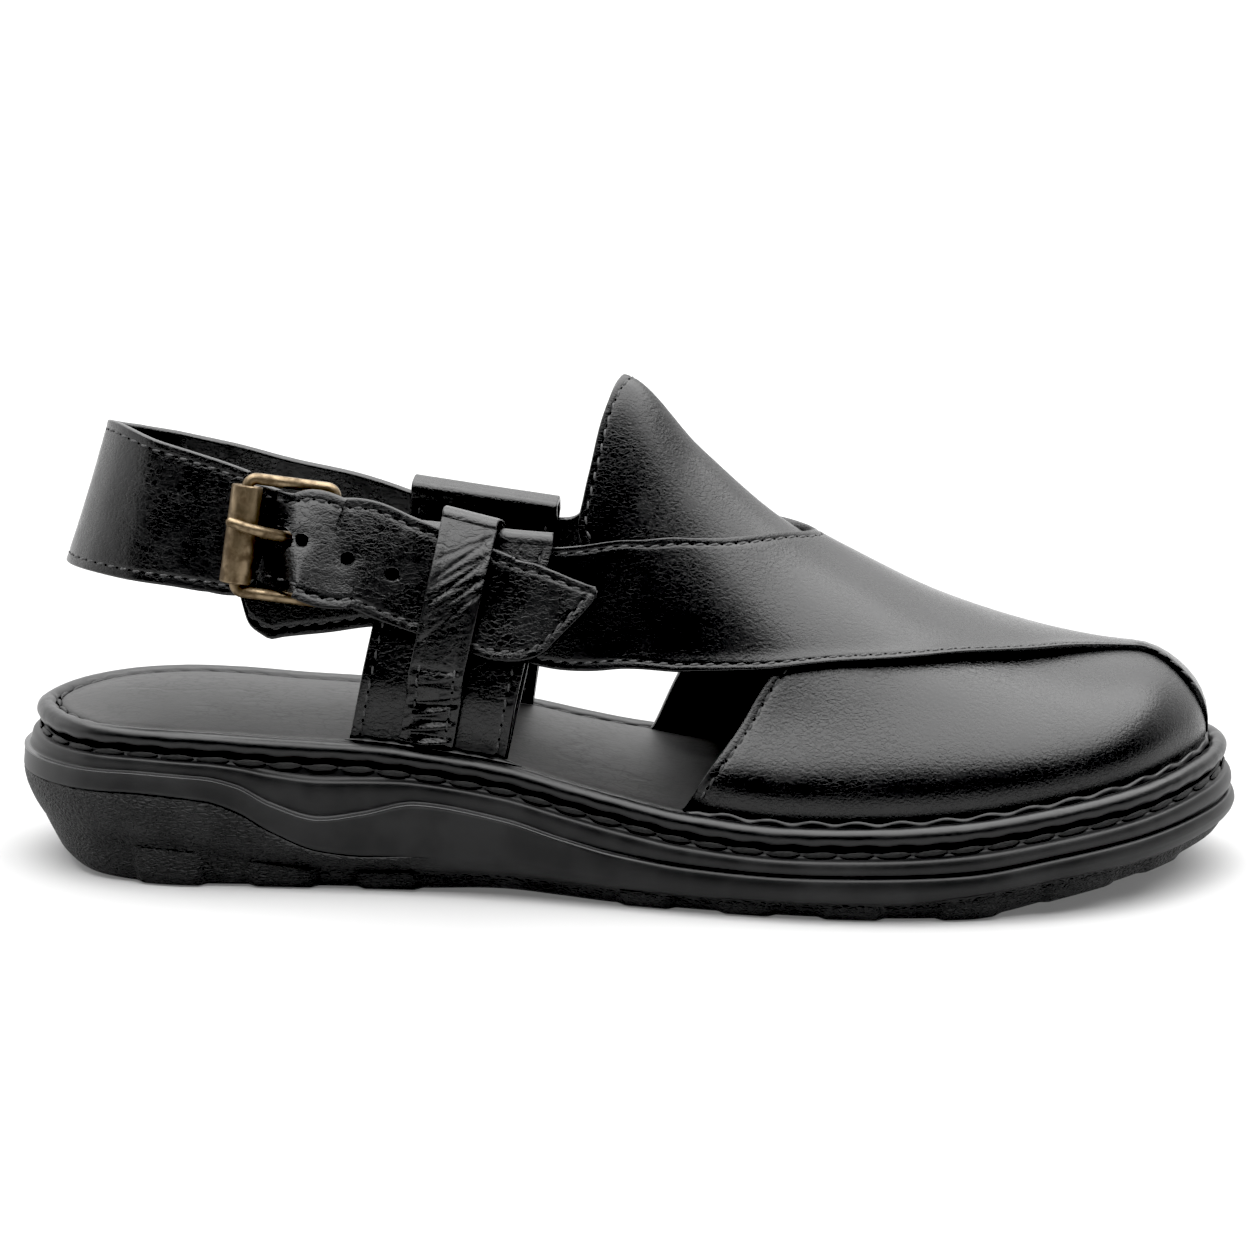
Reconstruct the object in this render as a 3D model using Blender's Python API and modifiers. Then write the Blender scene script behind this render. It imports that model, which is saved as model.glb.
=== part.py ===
"""Closed-toe sandal: two crossing leather panels on a moulded sole, with a buckled heel strap.

A right shoe. +X points to the toe, +Y to the medial side, +Z up, with the origin on the floor under the
middle of the sole. Tables hold millimetres: s runs along the shoe from the back of the heel, y across it
and z up. The upper is drawn on one surface, the last, whose girth coordinate g is -1 at the lateral
feather edge, 0 along the ridge of the instep and +1 at the medial feather edge.
"""

import math

import bmesh
import bpy
import numpy as np
from mathutils import Vector

MM = 0.001
GAP = 0.3
MIDDLE = 145.5

RAND_RADIUS = 2.6
INSOLE_EDGE = -5.9
INSOLE_HEIGHT = 4.8
FEATHER_INSET = 7.2
FEATHER_RISE = INSOLE_HEIGHT + GAP
PANEL_WALL = 2.0
OVER_PANEL_LIFT = 1.1
TOE_LIFT_LOSS = 0.5
TAB_WALL = 1.8
STRAP_WALL = 2.2
KEEPER_WALL = 1.4
LUG_DEPTH = 2.0
TOE_ROUND_FROM = 268.0
GIRTH_SCALE = 60.0
WIRE_RADIUS = 1.4
ROLLER_RADIUS = 3.7
ROLLER_BORE = 1.75
ROLLER_LENGTH = 23.4
PRONG_RADIUS = 1.2
PRONG_TIP = 0.6
PRONG_TIP_STEP = 0.15
HOLE_RADIUS = 1.5
PRONG_HOLE_RADIUS = 2.6
HOLE_CUT_DEPTH = 24.0
HOLE_CUT_Y = -31.0

# The over panel comes down to the last towards the medial feather edge (in g) and thins over the toe (in s).
LIFT_FADE_FROM = 0.6
LIFT_FADE_LENGTH = 0.35
TOE_THIN_FROM = 235.0
TOE_THIN_LENGTH = 30.0

# A folded strip: roundness and steps of its fold, height in which a tab leaves the wall, clearance of its foot.
FOLD_ROUNDNESS = 0.7
FOLD_STEPS = 7
TAB_BLEND = 18.0
TAB_FOOT_RISE = FEATHER_RISE + 0.2
LEAN_PROBE = 4.0

RING_STATIONS = 36
PANEL_STEPS = (40, 14)
RAND_SIDES = 8
TAB_COLUMN_COUNT = 5
TAB_ROWS = 9
KEEPER_COLUMN_COUNT = 3
KEEPER_ROWS = 14
STRAP_COLUMN_COUNT = 4
CORNER_STEPS = 3
ROLLER_SIDES = 16
CUTTER_SIDES = 12
SHARP_ANGLE = math.radians(40)

UPPER_BLACK = (0.012, 0.012, 0.012)
STRAP_BLACK = (0.013, 0.013, 0.013)
RAND_BLACK = (0.014, 0.013, 0.013)
FOOTBED_GREY = (0.03, 0.028, 0.027)
SOLE_BLACK = (0.018, 0.018, 0.019)
BRASS = (0.35, 0.27, 0.16)
LEATHER_ROUGHNESS = 0.35
RAND_ROUGHNESS = 0.3
FOOTBED_ROUGHNESS = 0.55
SOLE_ROUGHNESS = 0.5

# Plan of the rolled edge, columns s and y, once round from the heel by the lateral side.
OUTLINE = (
    (0, 0), (6, -17.5), (16, -27.5), (32, -33), (60, -33.8), (85, -33.8), (115, -36.5), (145, -42),
    (170, -47), (195, -50), (215, -49.8), (235, -46.5), (254, -40), (270, -30), (282, -16), (288.5, -4),
    (291, 7), (289.5, 18), (284, 29.5), (274, 37.5), (258, 44), (238, 48.3), (215, 50), (195, 48.5),
    (175, 43), (155, 35), (135, 31.3), (115, 30.8), (90, 32.3), (60, 33.6), (32, 33), (16, 27.5), (6, 17.5),
)

# Heights along the sole: seat of the rolled edge, wave ledge, shelf above the heel, tread line, base.
LEVEL_COLUMNS = ("s", "seat", "ledge", "shelf", "tread", "base")
LEVELS = (
    (-3, 33.2, 27.6, 22.5, 12.5, 6.5),
    (5, 33.2, 27.8, 22.8, 11.5, 5.2),
    (12, 33.2, 28.0, 23.1, 10.6, 3.6),
    (21, 33.2, 28.3, 23.5, 10.2, 2.4),
    (30, 33.2, 28.6, 23.8, 9.8, 2.0),
    (46, 32.7, 27.9, 22.6, 8.8, 2.0),
    (54, 32.2, 26.0, 20.0, 7.4, 2.0),
    (62, 31.7, 21.8, 15.3, 6.4, 2.0),
    (74, 31.2, 18.3, 10.5, 5.4, 2.0),
    (84, 30.8, 19.8, 9.5, 5.2, 2.0),
    (97, 29.6, 22.8, 10.0, 5.4, 2.2),
    (118, 27.0, 20.0, 10.5, 5.8, 3.2),
    (132, 24.0, 16.3, 9.0, 5.2, 2.6),
    (146, 21.1, 13.3, 7.8, 4.8, 2.0),
    (162, 18.3, 11.6, 7.2, 4.6, 2.0),
    (185, 16.6, 10.8, 7.0, 4.6, 2.0),
    (210, 17.1, 11.2, 7.4, 4.8, 2.0),
    (228, 18.2, 11.8, 8.6, 6.4, 2.0),
    (250, 20.7, 14.7, 11.8, 9.4, 5.6),
    (270, 23.1, 16.8, 13.8, 11.2, 8.6),
    (291, 26.2, 18.8, 16.0, 13.6, 11.6),
)

# Side of the sole from the top down: height between two levels, and how far it stands out of the outline.
SOLE_RINGS = (
    ("seat", "seat", 0.0, -2.0),
    ("seat", "ledge", 0.06, -1.0),
    ("seat", "ledge", 0.18, -0.8),
    ("seat", "ledge", 0.26, 0.6),
    ("seat", "ledge", 0.55, 1.1),
    ("seat", "ledge", 0.88, 1.0),
    ("seat", "ledge", 1.0, 2.1),
    ("ledge", "shelf", 0.4, 2.5),
    ("ledge", "shelf", 1.0, 2.6),
    ("shelf", "tread", 0.12, 2.0),
    ("shelf", "tread", 1.0, 0.6),
    ("tread", "base", 0.55, -1.2),
    ("tread", "base", 1.0, -5.0),
)

# Lugs across the tread, columns from and to along the shoe.
LUGS = (
    (29, 45), (57, 72), (83, 97), (146, 158), (170, 182), (194, 208), (222, 236), (247, 263), (271, 279),
)
LUG_TOP_OUT = -2.0
LUG_FOOT_OUT = -3.2
LUG_ROOT = 1.2

# Padded footbed from the edge in: distance out of the outline, height over the seat.
INSOLE_RINGS = (
    (INSOLE_EDGE, GAP), (INSOLE_EDGE, 4.3), (-6.4, INSOLE_HEIGHT), (-9.9, INSOLE_HEIGHT), (-11.8, 5.7),
)

# Sections of the last: height and place of the ridge, roundness of the lateral and medial walls and the rise.
LAST_COLUMNS = ("s", "ridge_z", "ridge_y", "lateral", "medial", "rise")
LAST = (
    (10, 122.0, 0.0, 1.6, 2.1, 1.65),
    (118, 122.0, 0.0, 1.6, 2.1, 1.65),
    (144, 119.3, 1.5, 1.32, 1.6, 1.6),
    (162, 101.5, 2.5, 1.45, 1.55, 1.65),
    (182, 84.0, 3.0, 1.65, 1.65, 1.75),
    (200, 73.4, 3.0, 1.85, 1.85, 1.9),
    (221, 63.0, 3.0, 2.05, 2.05, 2.0),
    (245, 55.3, 3.5, 2.2, 2.2, 2.1),
    (264, 52.3, 5.5, 2.2, 2.2, 2.2),
    (284, 51.0, 8.0, 2.2, 2.2, 2.2),
)

# Edges of the panels on the last, columns s and g. Each runs from the wing at the ankle to the feather edge.
TOE_END = 283.7
OVER_FRONT = (
    (54.3, -0.7), (56.5, -0.752), (59.5, -0.771), (61.5, -0.779), (64.5, -0.7745), (76, -0.761),
    (88, -0.745), (108, -0.76), (127, -0.775), (146, -0.74), (165, -0.675), (188, -0.575), (207, -0.48),
    (225, -0.35), (244, -0.2), (256, -0.09), (265, -0.01), (273, 0.03), (279, 0.02), (282.3, 0.0),
    (TOE_END, 0.2), (TOE_END, 1.0),
)
OVER_REAR = (
    (54.3, -0.56), (58, -0.52), (72, -0.52), (84, -0.545), (92, -0.56), (110, -0.56), (129, -0.56),
    (140, -0.534), (149, -0.505), (158, -0.435), (168, -0.354), (181, -0.179), (187, -0.06), (188.5, 0.03),
    (186.5, 0.11), (181.5, 0.2), (175, 0.29), (168.5, 0.39), (164.5, 0.5), (163.5, 0.6), (164, 0.7),
    (156, 0.85), (152, 0.93), (149, 1.0),
)
UNDER_FRONT = (
    (109, 0.775), (127, 0.775), (146, 0.74), (165, 0.68), (188, 0.58), (207, 0.49), (225, 0.38),
    (244, 0.28), (256, 0.24), (265, 0.22), (273, 0.22), (279, 0.25), (282.3, 0.25), (TOE_END, 0.0),
    (TOE_END, -1.0),
)
UNDER_REAR = (
    (109, 0.568), (118, 0.577), (127, 0.578), (132, 0.558), (134.7, 0.515), (136, 0.45), (137.3, 0.38),
    (139, 0.28), (141.2, 0.17), (143.2, 0.06), (143.7, 0.0), (143.2, -0.06), (141.2, -0.17), (139, -0.28),
    (137.2, -0.383), (135.8, -0.45), (134.8, -0.52), (137, -0.56), (150, -0.56), (166, -0.545),
    (177, -0.53), (183, -0.54), (184, -0.57), (182, -0.603), (179.5, -0.65), (174.3, -0.758),
    (169.5, -0.841), (165, -0.917), (160.8, -1.0),
)

# Loops that fold over the wings: foot along the shoe, lean of the strip, fold height, lifts off the last.
TAB_COLUMNS = (
    "side", "foot_from", "foot_to", "forward", "fold_from", "fold_to", "out_foot", "out_top", "in_foot",
    "in_top",
)
TABS = {
    "tab_lateral": (-1, 80.4, 118.3, 11.0, 85.1, 82.5, 1.0, 4.1, -1.1, -1.1),
    "tab_medial": (1, 84.0, 120.0, 7.0, 86.8, 82.0, 1.0, 2.8, -1.1, -3.0),
}

# Keeper strip: width, place of its rear edge at the foot and at the fold, fold height, lifts and ends.
KEEPER_WIDTH = 13.4
KEEPER_FOOT_S = 92.6
KEEPER_TOP_S = 103.8
KEEPER_FOOT_RISE = 1.2
KEEPER_FOLD_Z = 88.4
KEEPER_FOLD_DROP = 2.8
KEEPER_FOLD_RISE = 2.4
KEEPER_LIFT = 9.4
KEEPER_INSIDE_LIFT = -3.0
KEEPER_STEP = (46.5, 53.5)
KEEPER_INSIDE_END = 72.0

# Heel strap from the medial loop round the heel to the buckle: middle line, width and inward lean.
STRAP_LOOP = (
    (106, 20.9, 68.2, 26.0, 8), (92, 21.9, 71.4, 28.8, 8), (84, 22.7, 73.0, 30.6, 8),
    (74, 23.5, 75.7, 31.3, 10), (58, 24.4, 79.0, 31.0, 11), (43, 23.2, 82.6, 31.9, 13),
    (29, 18.6, 85.6, 33.6, 16),
    (19.4, 10.0, 87.6, 36.0, 18), (14.9, 0.0, 89.7, 36.4, 18), (19.4, -10.0, 90.7, 36.4, 17),
    (29, -18.2, 89.7, 34.5, 14), (42, -22.6, 87.9, 32.3, 13), (50, -24.2, 86.4, 30.9, 13),
    (55.5, -25.2, 85.3, 29.0, 13), (60, -26.4, 85.9, 23.2, 12), (64, -29.4, 85.5, 23.0, 11),
    (68, -31.6, 85.2, 23.4, 10), (72, -32.4, 85.0, 26.2, 10), (77, -32.4, 82.9, 26.4, 11),
)
# Tail of the strap on the lateral wall: place along, middle height, width, lift off the last.
STRAP_TAIL = (
    (84, 79.9, 26.2, 10.2), (92, 77.0, 26.0, 7.6), (98, 75.0, 25.8, 6.9), (104, 73.1, 25.6, 6.6),
    (113, 70.3, 25.3, 6.6), (119, 68.6, 25.0, 6.6), (122.5, 68.5, 24.4, 6.6), (125, 69.0, 22.8, 6.6),
    (127, 69.5, 20.8, 6.6), (131, 70.3, 15.4, 6.6), (135, 71.1, 9.8, 6.6), (138.4, 72.0, 4.8, 6.6),
    (140.3, 72.7, 1.6, 6.6),
)
STRAP_STEPS = 62
PRONG_STEPS = 12
STRAP_HOLES = ((70.6, 86.0), (81.2, 81.6), (91.6, 77.4))

# Buckle: middle of the roller and of the heel bar, lean of the bars, half height of the frame.
ROLLER_AT = (56.0, -31.4, 86.8)
HEEL_BAR_AT = (76.4, -28.2, 83.6)
BAR_LEAN = (3.6, 4.6, 24.8)
FRAME_HALF = 13.5
FRAME_CORNER = 2.2
PRONG = (
    (74.2, -28.6, 84.4), (69.5, -28.4, 85.2), (67.3, -29.0, 85.7), (65.2, -30.4, 86.3), (62, -33.2, 87.6),
    (58.4, -35.7, 89.2), (55.6, -36.2, 90.3), (53.2, -35.7, 91.0),
)
PRONG_HOLE = (65.7, 86.1)


def clear_scene():
    """Remove every object that the file opens with."""
    for item in list(bpy.data.objects):
        bpy.data.objects.remove(item, do_unlink=True)


def collection(name):
    """Add a collection to the scene and return it."""
    group = bpy.data.collections.new(name)
    bpy.context.scene.collection.children.link(group)
    return group


def finish(name, colour, roughness, metallic=0.0):
    """Make a plain Principled material."""
    material = bpy.data.materials.new(name)
    material.use_nodes = True
    shader = material.node_tree.nodes["Principled BSDF"]
    shader.inputs["Base Color"].default_value = (*colour, 1.0)
    shader.inputs["Roughness"].default_value = roughness
    shader.inputs["Metallic"].default_value = metallic
    return material


def place(points):
    """Turn (s, y, z) millimetres into metres in the frame of the part."""
    moved = np.asarray(points, float) - (MIDDLE, 0.0, 0.0)
    return moved * MM


def smooth(knots, values, at):
    """Monotone cubic through (knots, values): slopes are the harmonic mean of the neighbouring chords."""
    step = np.diff(knots)
    chord = np.diff(values) / step
    slope = np.concatenate([chord[:1], np.zeros(len(chord) - 1), chord[-1:]])
    same = chord[:-1] * chord[1:] > 0
    total = np.where(same, chord[:-1] + chord[1:], 1.0)
    slope[1:-1] = np.where(same, 2 * chord[:-1] * chord[1:] / total, 0.0)
    at = np.clip(at, knots[0], knots[-1])
    k = np.clip(np.searchsorted(knots, at, side="right") - 1, 0, len(step) - 1)
    t = (at - knots[k]) / step[k]
    start = (2 * t**3 - 3 * t**2 + 1) * values[k] + (t**3 - 2 * t**2 + t) * step[k] * slope[k]
    end = (3 * t**2 - 2 * t**3) * values[k + 1] + (t**3 - t**2) * step[k] * slope[k + 1]
    return start + end


def column(table, columns, name, at):
    """Read one named column of a table along s."""
    rows = np.array(table, float)
    return smooth(rows[:, 0], rows[:, columns.index(name)], np.asarray(at, float))


def level(name, at):
    """Height of a level of the sole."""
    return column(LEVELS, LEVEL_COLUMNS, name, at)


def curve_through(rows, count, closed=False):
    """Cubic curve through the rows, read at count places evenly along the chords."""
    points = np.array(rows, float)
    loop = np.vstack([points, points[:1]]) if closed else points
    chord = np.linalg.norm(np.diff(loop[:, : min(3, loop.shape[1])], axis=0), axis=1)
    if closed:
        before = np.roll(chord, 1)[:, None]
        after = chord[:, None]
        behind = (points - np.roll(points, 1, axis=0)) / before
        ahead = (np.roll(points, -1, axis=0) - points) / after
        slope = (behind * after + ahead * before) / (before + after)
        slope = np.vstack([slope, slope[:1]])
    else:
        steps = np.diff(loop, axis=0) / chord[:, None]
        inner = steps[:-1] * chord[1:, None] + steps[1:] * chord[:-1, None]
        inner = inner / (chord[:-1] + chord[1:])[:, None]
        slope = np.vstack([steps[:1], inner, steps[-1:]])
    along = np.concatenate([[0.0], np.cumsum(chord)])
    at = np.linspace(0.0, along[-1], count, endpoint=not closed)
    k = np.clip(np.searchsorted(along, at, side="right") - 1, 0, len(chord) - 1)
    t = ((at - along[k]) / chord[k])[:, None]
    h = chord[k][:, None]
    start = (2 * t**3 - 3 * t**2 + 1) * loop[k] + (t**3 - 2 * t**2 + t) * h * slope[k]
    end = (3 * t**2 - 2 * t**3) * loop[k + 1] + (t**3 - t**2) * h * slope[k + 1]
    return start + end


PLAN = curve_through(OUTLINE, 1440, closed=True)


def plan_offset(out):
    """Outline moved out (or in, where negative) along its normals."""
    tangent = np.roll(PLAN, -1, axis=0) - np.roll(PLAN, 1, axis=0)
    tangent /= np.linalg.norm(tangent, axis=1)[:, None]
    normal = np.stack([tangent[:, 1], -tangent[:, 0]], axis=1)
    inwards = np.sum(normal * (PLAN - PLAN.mean(axis=0))) < 0
    return PLAN + (-out if inwards else out) * normal


def plan_sides(out):
    """Lateral and medial halves of the moved outline, each from the heel to the toe."""
    moved = plan_offset(out)
    moved = np.roll(moved, -int(np.argmin(moved[:, 0])), axis=0)
    toe = int(np.argmax(moved[:, 0]))
    lateral = moved[: toe + 1]
    medial = np.vstack([moved[toe:], moved[:1]])[::-1]
    return lateral, medial


FEATHER = plan_sides(-FEATHER_INSET)
TOE_TIP = float(FEATHER[0][-1, 0])


def ring(out, height):
    """Closed ring round the outline: heel, lateral side, toe, medial side. height gives z at each s."""
    lateral, medial = plan_sides(out)
    share = (1 - np.cos(np.pi * np.arange(RING_STATIONS + 1) / RING_STATIONS)) / 2
    s = lateral[0, 0] + (lateral[-1, 0] - lateral[0, 0]) * share
    near = np.stack([s, np.interp(s, lateral[:, 0], lateral[:, 1]), height(s)], axis=1)
    far = np.stack([s, np.interp(s, medial[:, 0], medial[:, 1]), height(s)], axis=1)
    return np.vstack([near, far[-2:0:-1]])


def solid(name, points, faces, material, group):
    """Closed mesh object from points in millimetres, with its faces turned outwards."""
    mesh = bpy.data.meshes.new(name)
    mesh.from_pydata(place(points).tolist(), [], faces)
    shape = bmesh.new()
    shape.from_mesh(mesh)
    bmesh.ops.recalc_face_normals(shape, faces=shape.faces)
    shape.to_mesh(mesh)
    shape.free()
    mesh.shade_smooth()
    mesh.set_sharp_from_angle(angle=SHARP_ANGLE)
    mesh.materials.append(material)
    item = bpy.data.objects.new(name, mesh)
    group.objects.link(item)
    return item


def make_cutter(item):
    """Mark an object as a helper of a Boolean."""
    item.hide_render = True
    item.display_type = "WIRE"


def boolean(item, operation, other, folded=False):
    """Add an exact Boolean with another object. folded: a mesh touches itself, as panels do at the toe."""
    modifier = item.modifiers.new(operation.lower(), "BOOLEAN")
    modifier.operation = operation
    modifier.solver = "EXACT"
    modifier.object = other
    modifier.use_self = folded


def band_faces(rows, columns, closed):
    """Quads between neighbouring rows of columns points, the last row joined to the first if closed."""
    faces = []
    for row in range(rows if closed else rows - 1):
        a = row * columns
        b = ((row + 1) % rows) * columns
        for k in range(columns):
            following = (k + 1) % columns
            faces.append((a + k, a + following, b + following, b + k))
    return faces


def lid_faces(start):
    """Close a ring with strips from its lateral to its medial side."""
    count = 2 * RING_STATIONS
    faces = [(start, start + 1, start + count - 1)]
    for k in range(1, RING_STATIONS - 1):
        faces.append((start + k, start + k + 1, start + count - k - 1, start + count - k))
    faces.append((start + RING_STATIONS - 1, start + RING_STATIONS, start + RING_STATIONS + 1))
    return faces


def stacked(name, rings, material, group):
    """Solid from rings one below the other, closed at both ends."""
    count = 2 * RING_STATIONS
    faces = band_faces(len(rings), count, closed=False)
    faces += lid_faces(0) + lid_faces((len(rings) - 1) * count)
    return solid(name, np.vstack(rings), faces, material, group)


def sole_ring(upper, lower, share, out):
    """One ring of the sole's side."""
    return ring(out, lambda s: level(upper, s) * (1 - share) + level(lower, s) * share)


def build_lugs(group):
    """Bars across the tread, as one helper for the sole."""
    points = []
    faces = []
    for start, end in LUGS:
        base = len(points)
        for s in (start, (start + end) / 2, end):
            for out, rise in ((LUG_TOP_OUT, LUG_ROOT), (LUG_FOOT_OUT, -LUG_DEPTH)):
                z = float(level("base", s)) + rise
                for side in plan_sides(out):
                    points.append((s, float(np.interp(s, side[:, 0], side[:, 1])), z))
        for k in (base, base + 4):
            for a, b in ((0, 1), (1, 3), (3, 2), (2, 0)):
                faces.append((k + a, k + b, k + b + 4, k + a + 4))
        faces.append((base, base + 1, base + 3, base + 2))
        faces.append((base + 8, base + 10, base + 11, base + 9))
    lugs = solid("lug_bars", points, faces, bpy.data.materials["sole_rubber"], group)
    make_cutter(lugs)
    return lugs


def build_sole(group, helpers):
    """Moulded sole with its stitched groove, wave ledge, shelf, arch and lugs."""
    rubber = finish("sole_rubber", SOLE_BLACK, SOLE_ROUGHNESS)
    sole = stacked("sole", [sole_ring(*row) for row in SOLE_RINGS], rubber, group)
    boolean(sole, "UNION", build_lugs(helpers))


def build_rand(group):
    """Rolled leather edge: a round profile carried along the outline."""
    leather = finish("rand_leather", RAND_BLACK, RAND_ROUGHNESS)
    rings = []
    for k in range(RAND_SIDES):
        angle = 2 * math.pi * k / RAND_SIDES
        out = RAND_RADIUS * (math.cos(angle) - 1)
        rise = GAP + RAND_RADIUS * (1 + math.sin(angle))
        rings.append(ring(out, lambda s, rise=rise: level("seat", s) + rise))
    faces = band_faces(RAND_SIDES, 2 * RING_STATIONS, closed=True)
    solid("rand", np.vstack(rings), faces, leather, group)


def build_insole(group):
    """Padded footbed inside the rolled edge."""
    leather = finish("footbed_leather", FOOTBED_GREY, FOOTBED_ROUGHNESS)
    rings = [ring(out, lambda s, rise=rise: level("seat", s) + rise) for out, rise in INSOLE_RINGS]
    stacked("insole", rings, leather, group)


def last_section(s):
    """Height of the feather edge at s, and of the ridge over it."""
    feather = level("seat", s) + FEATHER_RISE
    reach = np.clip(np.asarray(s, float) - TOE_ROUND_FROM, 0, None) / (TOE_TIP - TOE_ROUND_FROM)
    toe = np.sqrt(np.clip(1 - reach**2, 0, 1))
    height = (column(LAST, LAST_COLUMNS, "ridge_z", s) - feather) * toe
    return feather, height


def last_point(s, g):
    """Point of the last: a superellipse from the feather edge up to the ridge at each s."""
    s = np.asarray(s, float)
    g = np.asarray(g, float)
    feather, height = last_section(s)
    ridge_y = column(LAST, LAST_COLUMNS, "ridge_y", s)
    lateral = np.interp(s, FEATHER[0][:, 0], FEATHER[0][:, 1])
    medial = np.interp(s, FEATHER[1][:, 0], FEATHER[1][:, 1])
    width = np.where(g < 0, ridge_y - lateral, medial - ridge_y)
    lateral_wall = column(LAST, LAST_COLUMNS, "lateral", s)
    medial_wall = column(LAST, LAST_COLUMNS, "medial", s)
    wall = np.where(g < 0, lateral_wall, medial_wall)
    rise = column(LAST, LAST_COLUMNS, "rise", s)
    angle = (1 - np.abs(g)) * np.pi / 2
    across = np.clip(width, 0, None) * np.clip(np.cos(angle), 0, 1) ** (2 / wall)
    up = height * np.clip(np.sin(angle), 0, 1) ** (2 / rise)
    return np.stack([s, ridge_y + np.sign(g) * across, feather + up], axis=-1)


def last_frame(s, g):
    """Point of the last with its unit normal, out of the foot, and its unit tangent towards +g."""
    small_s = 0.2
    small_g = 0.004
    along = last_point(np.minimum(s + small_s, TOE_END), g) - last_point(s - small_s, g)
    across = last_point(s, np.minimum(g + small_g, 1)) - last_point(s, np.maximum(g - small_g, -1))
    normal = np.cross(along, across)
    normal /= np.linalg.norm(normal, axis=-1, keepdims=True)
    across /= np.linalg.norm(across, axis=-1, keepdims=True)
    return last_point(s, g), normal, across


def girth_at(s, z, side):
    """Girth coordinate of the height z on one side of the last."""
    feather, height = last_section(s)
    rise = column(LAST, LAST_COLUMNS, "rise", s)
    share = np.clip((z - feather) / height, 0, 1) ** (rise / 2)
    return side * (1 - np.arcsin(share) * 2 / np.pi)


def rolled(s):
    """Stretch s round the toe, so that steps stay even down its front."""
    radius = TOE_TIP - TOE_ROUND_FROM
    past = np.clip((np.asarray(s, float) - TOE_ROUND_FROM) / radius, 0, 1)
    return np.minimum(s, TOE_ROUND_FROM) + radius * np.arcsin(past)


def unrolled(q):
    """Back from the stretched coordinate to s."""
    radius = TOE_TIP - TOE_ROUND_FROM
    past = np.clip((np.asarray(q, float) - TOE_ROUND_FROM) / radius, 0, np.pi / 2)
    return np.minimum(q, TOE_ROUND_FROM) + radius * np.sin(past)


def panel_grid(front, rear):
    """Ruled patch between a panel's front and rear edge on the last. Returns s and g on the grid."""
    edges = []
    for rows in (front, rear):
        table = np.array(rows, float)
        flat = np.stack([rolled(table[:, 0]), table[:, 1] * GIRTH_SCALE], axis=1)
        edges.append(curve_through(flat, PANEL_STEPS[0] + 1))
    v = np.linspace(0, 1, PANEL_STEPS[1] + 1)[None, :, None]
    between = (1 - v) * edges[0][:, None] + v * edges[1][:, None]
    s = unrolled(between[..., 0])
    return np.minimum(s, TOE_END), np.clip(between[..., 1] / GIRTH_SCALE, -1, 1)


def sheet(name, points, wall, material, group):
    """Open grid of points given its thickness by Solidify, half to each side."""
    rows, columns = points.shape[:2]
    faces = []
    for i in range(rows - 1):
        for j in range(columns - 1):
            a = i * columns + j
            faces.append((a, a + 1, a + columns + 1, a + columns))
    item = solid(name, points.reshape(-1, 3), faces, material, group)
    modifier = item.modifiers.new("wall", "SOLIDIFY")
    modifier.thickness = wall * MM
    modifier.offset = 0.0
    return item


def ease(share):
    """Smooth step from 0 to 1."""
    share = np.clip(share, 0, 1)
    return share * share * (3 - 2 * share)


def build_upper(group, helpers):
    """Both panels: the over panel lies on the under panel and is joined to it where they cross."""
    leather = finish("upper_leather", UPPER_BLACK, LEATHER_ROUGHNESS)
    s, g = panel_grid(UNDER_FRONT, UNDER_REAR)
    upper = sheet("upper", last_point(s, g), PANEL_WALL, leather, group)
    s, g = panel_grid(OVER_FRONT, OVER_REAR)
    point, normal, _ = last_frame(s, g)
    seated = ease((g - LIFT_FADE_FROM) / LIFT_FADE_LENGTH)
    thinned = TOE_LIFT_LOSS * ease((s - TOE_THIN_FROM) / TOE_THIN_LENGTH)
    lift = OVER_PANEL_LIFT * (1 - seated) * (1 - thinned)
    over = sheet("over_panel", point + lift[..., None] * normal, PANEL_WALL, leather, helpers)
    make_cutter(over)
    boolean(upper, "UNION", over, folded=True)


def wall_point(s, z, side, lift):
    """Point at height z on one side of the last, lifted off it."""
    point, normal, _ = last_frame(s, girth_at(s, z, side))
    return point + np.asarray(lift)[..., None] * normal


def folded_strip(side, s_of, foot_z, fold_z, lift_out, lift_in, inside_z, fold_rise, steps):
    """Strip up the outside of the wall, over a fold and down the inside. s_of gives the columns at a height."""
    rows = []
    for share in np.linspace(0, 1, steps):
        z = foot_z + (fold_z - foot_z) * share
        rows.append(wall_point(s_of(z), z, side, lift_out(z)))
    top = s_of(fold_z)
    point, normal, across = last_frame(top, girth_at(top, fold_z, side))
    middle = (lift_out(fold_z) + lift_in(fold_z))[..., None] / 2
    half = (lift_out(fold_z) - lift_in(fold_z))[..., None] / 2
    for angle in np.linspace(0, np.pi, FOLD_STEPS)[1:-1]:
        up = fold_rise * math.sin(angle) ** FOLD_ROUNDNESS
        rows.append(point + normal * (middle + half * math.cos(angle)) - side * across * up)
    for share in np.linspace(0, 1, steps):
        z = fold_z + (inside_z - fold_z) * share
        rows.append(wall_point(s_of(z), z, side, lift_in(z)))
    return np.array(rows)


def tab_lifts(sizes, s):
    """Lifts of a tab's outer and inner leaf as functions of height."""
    feather = level("seat", s) + FEATHER_RISE

    def leaf(name, z):
        foot = sizes[name + "_foot"]
        return foot + (sizes[name + "_top"] - foot) * ease((z - feather) / TAB_BLEND)

    return lambda z: leaf("out", z), lambda z: leaf("in", z)


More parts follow.
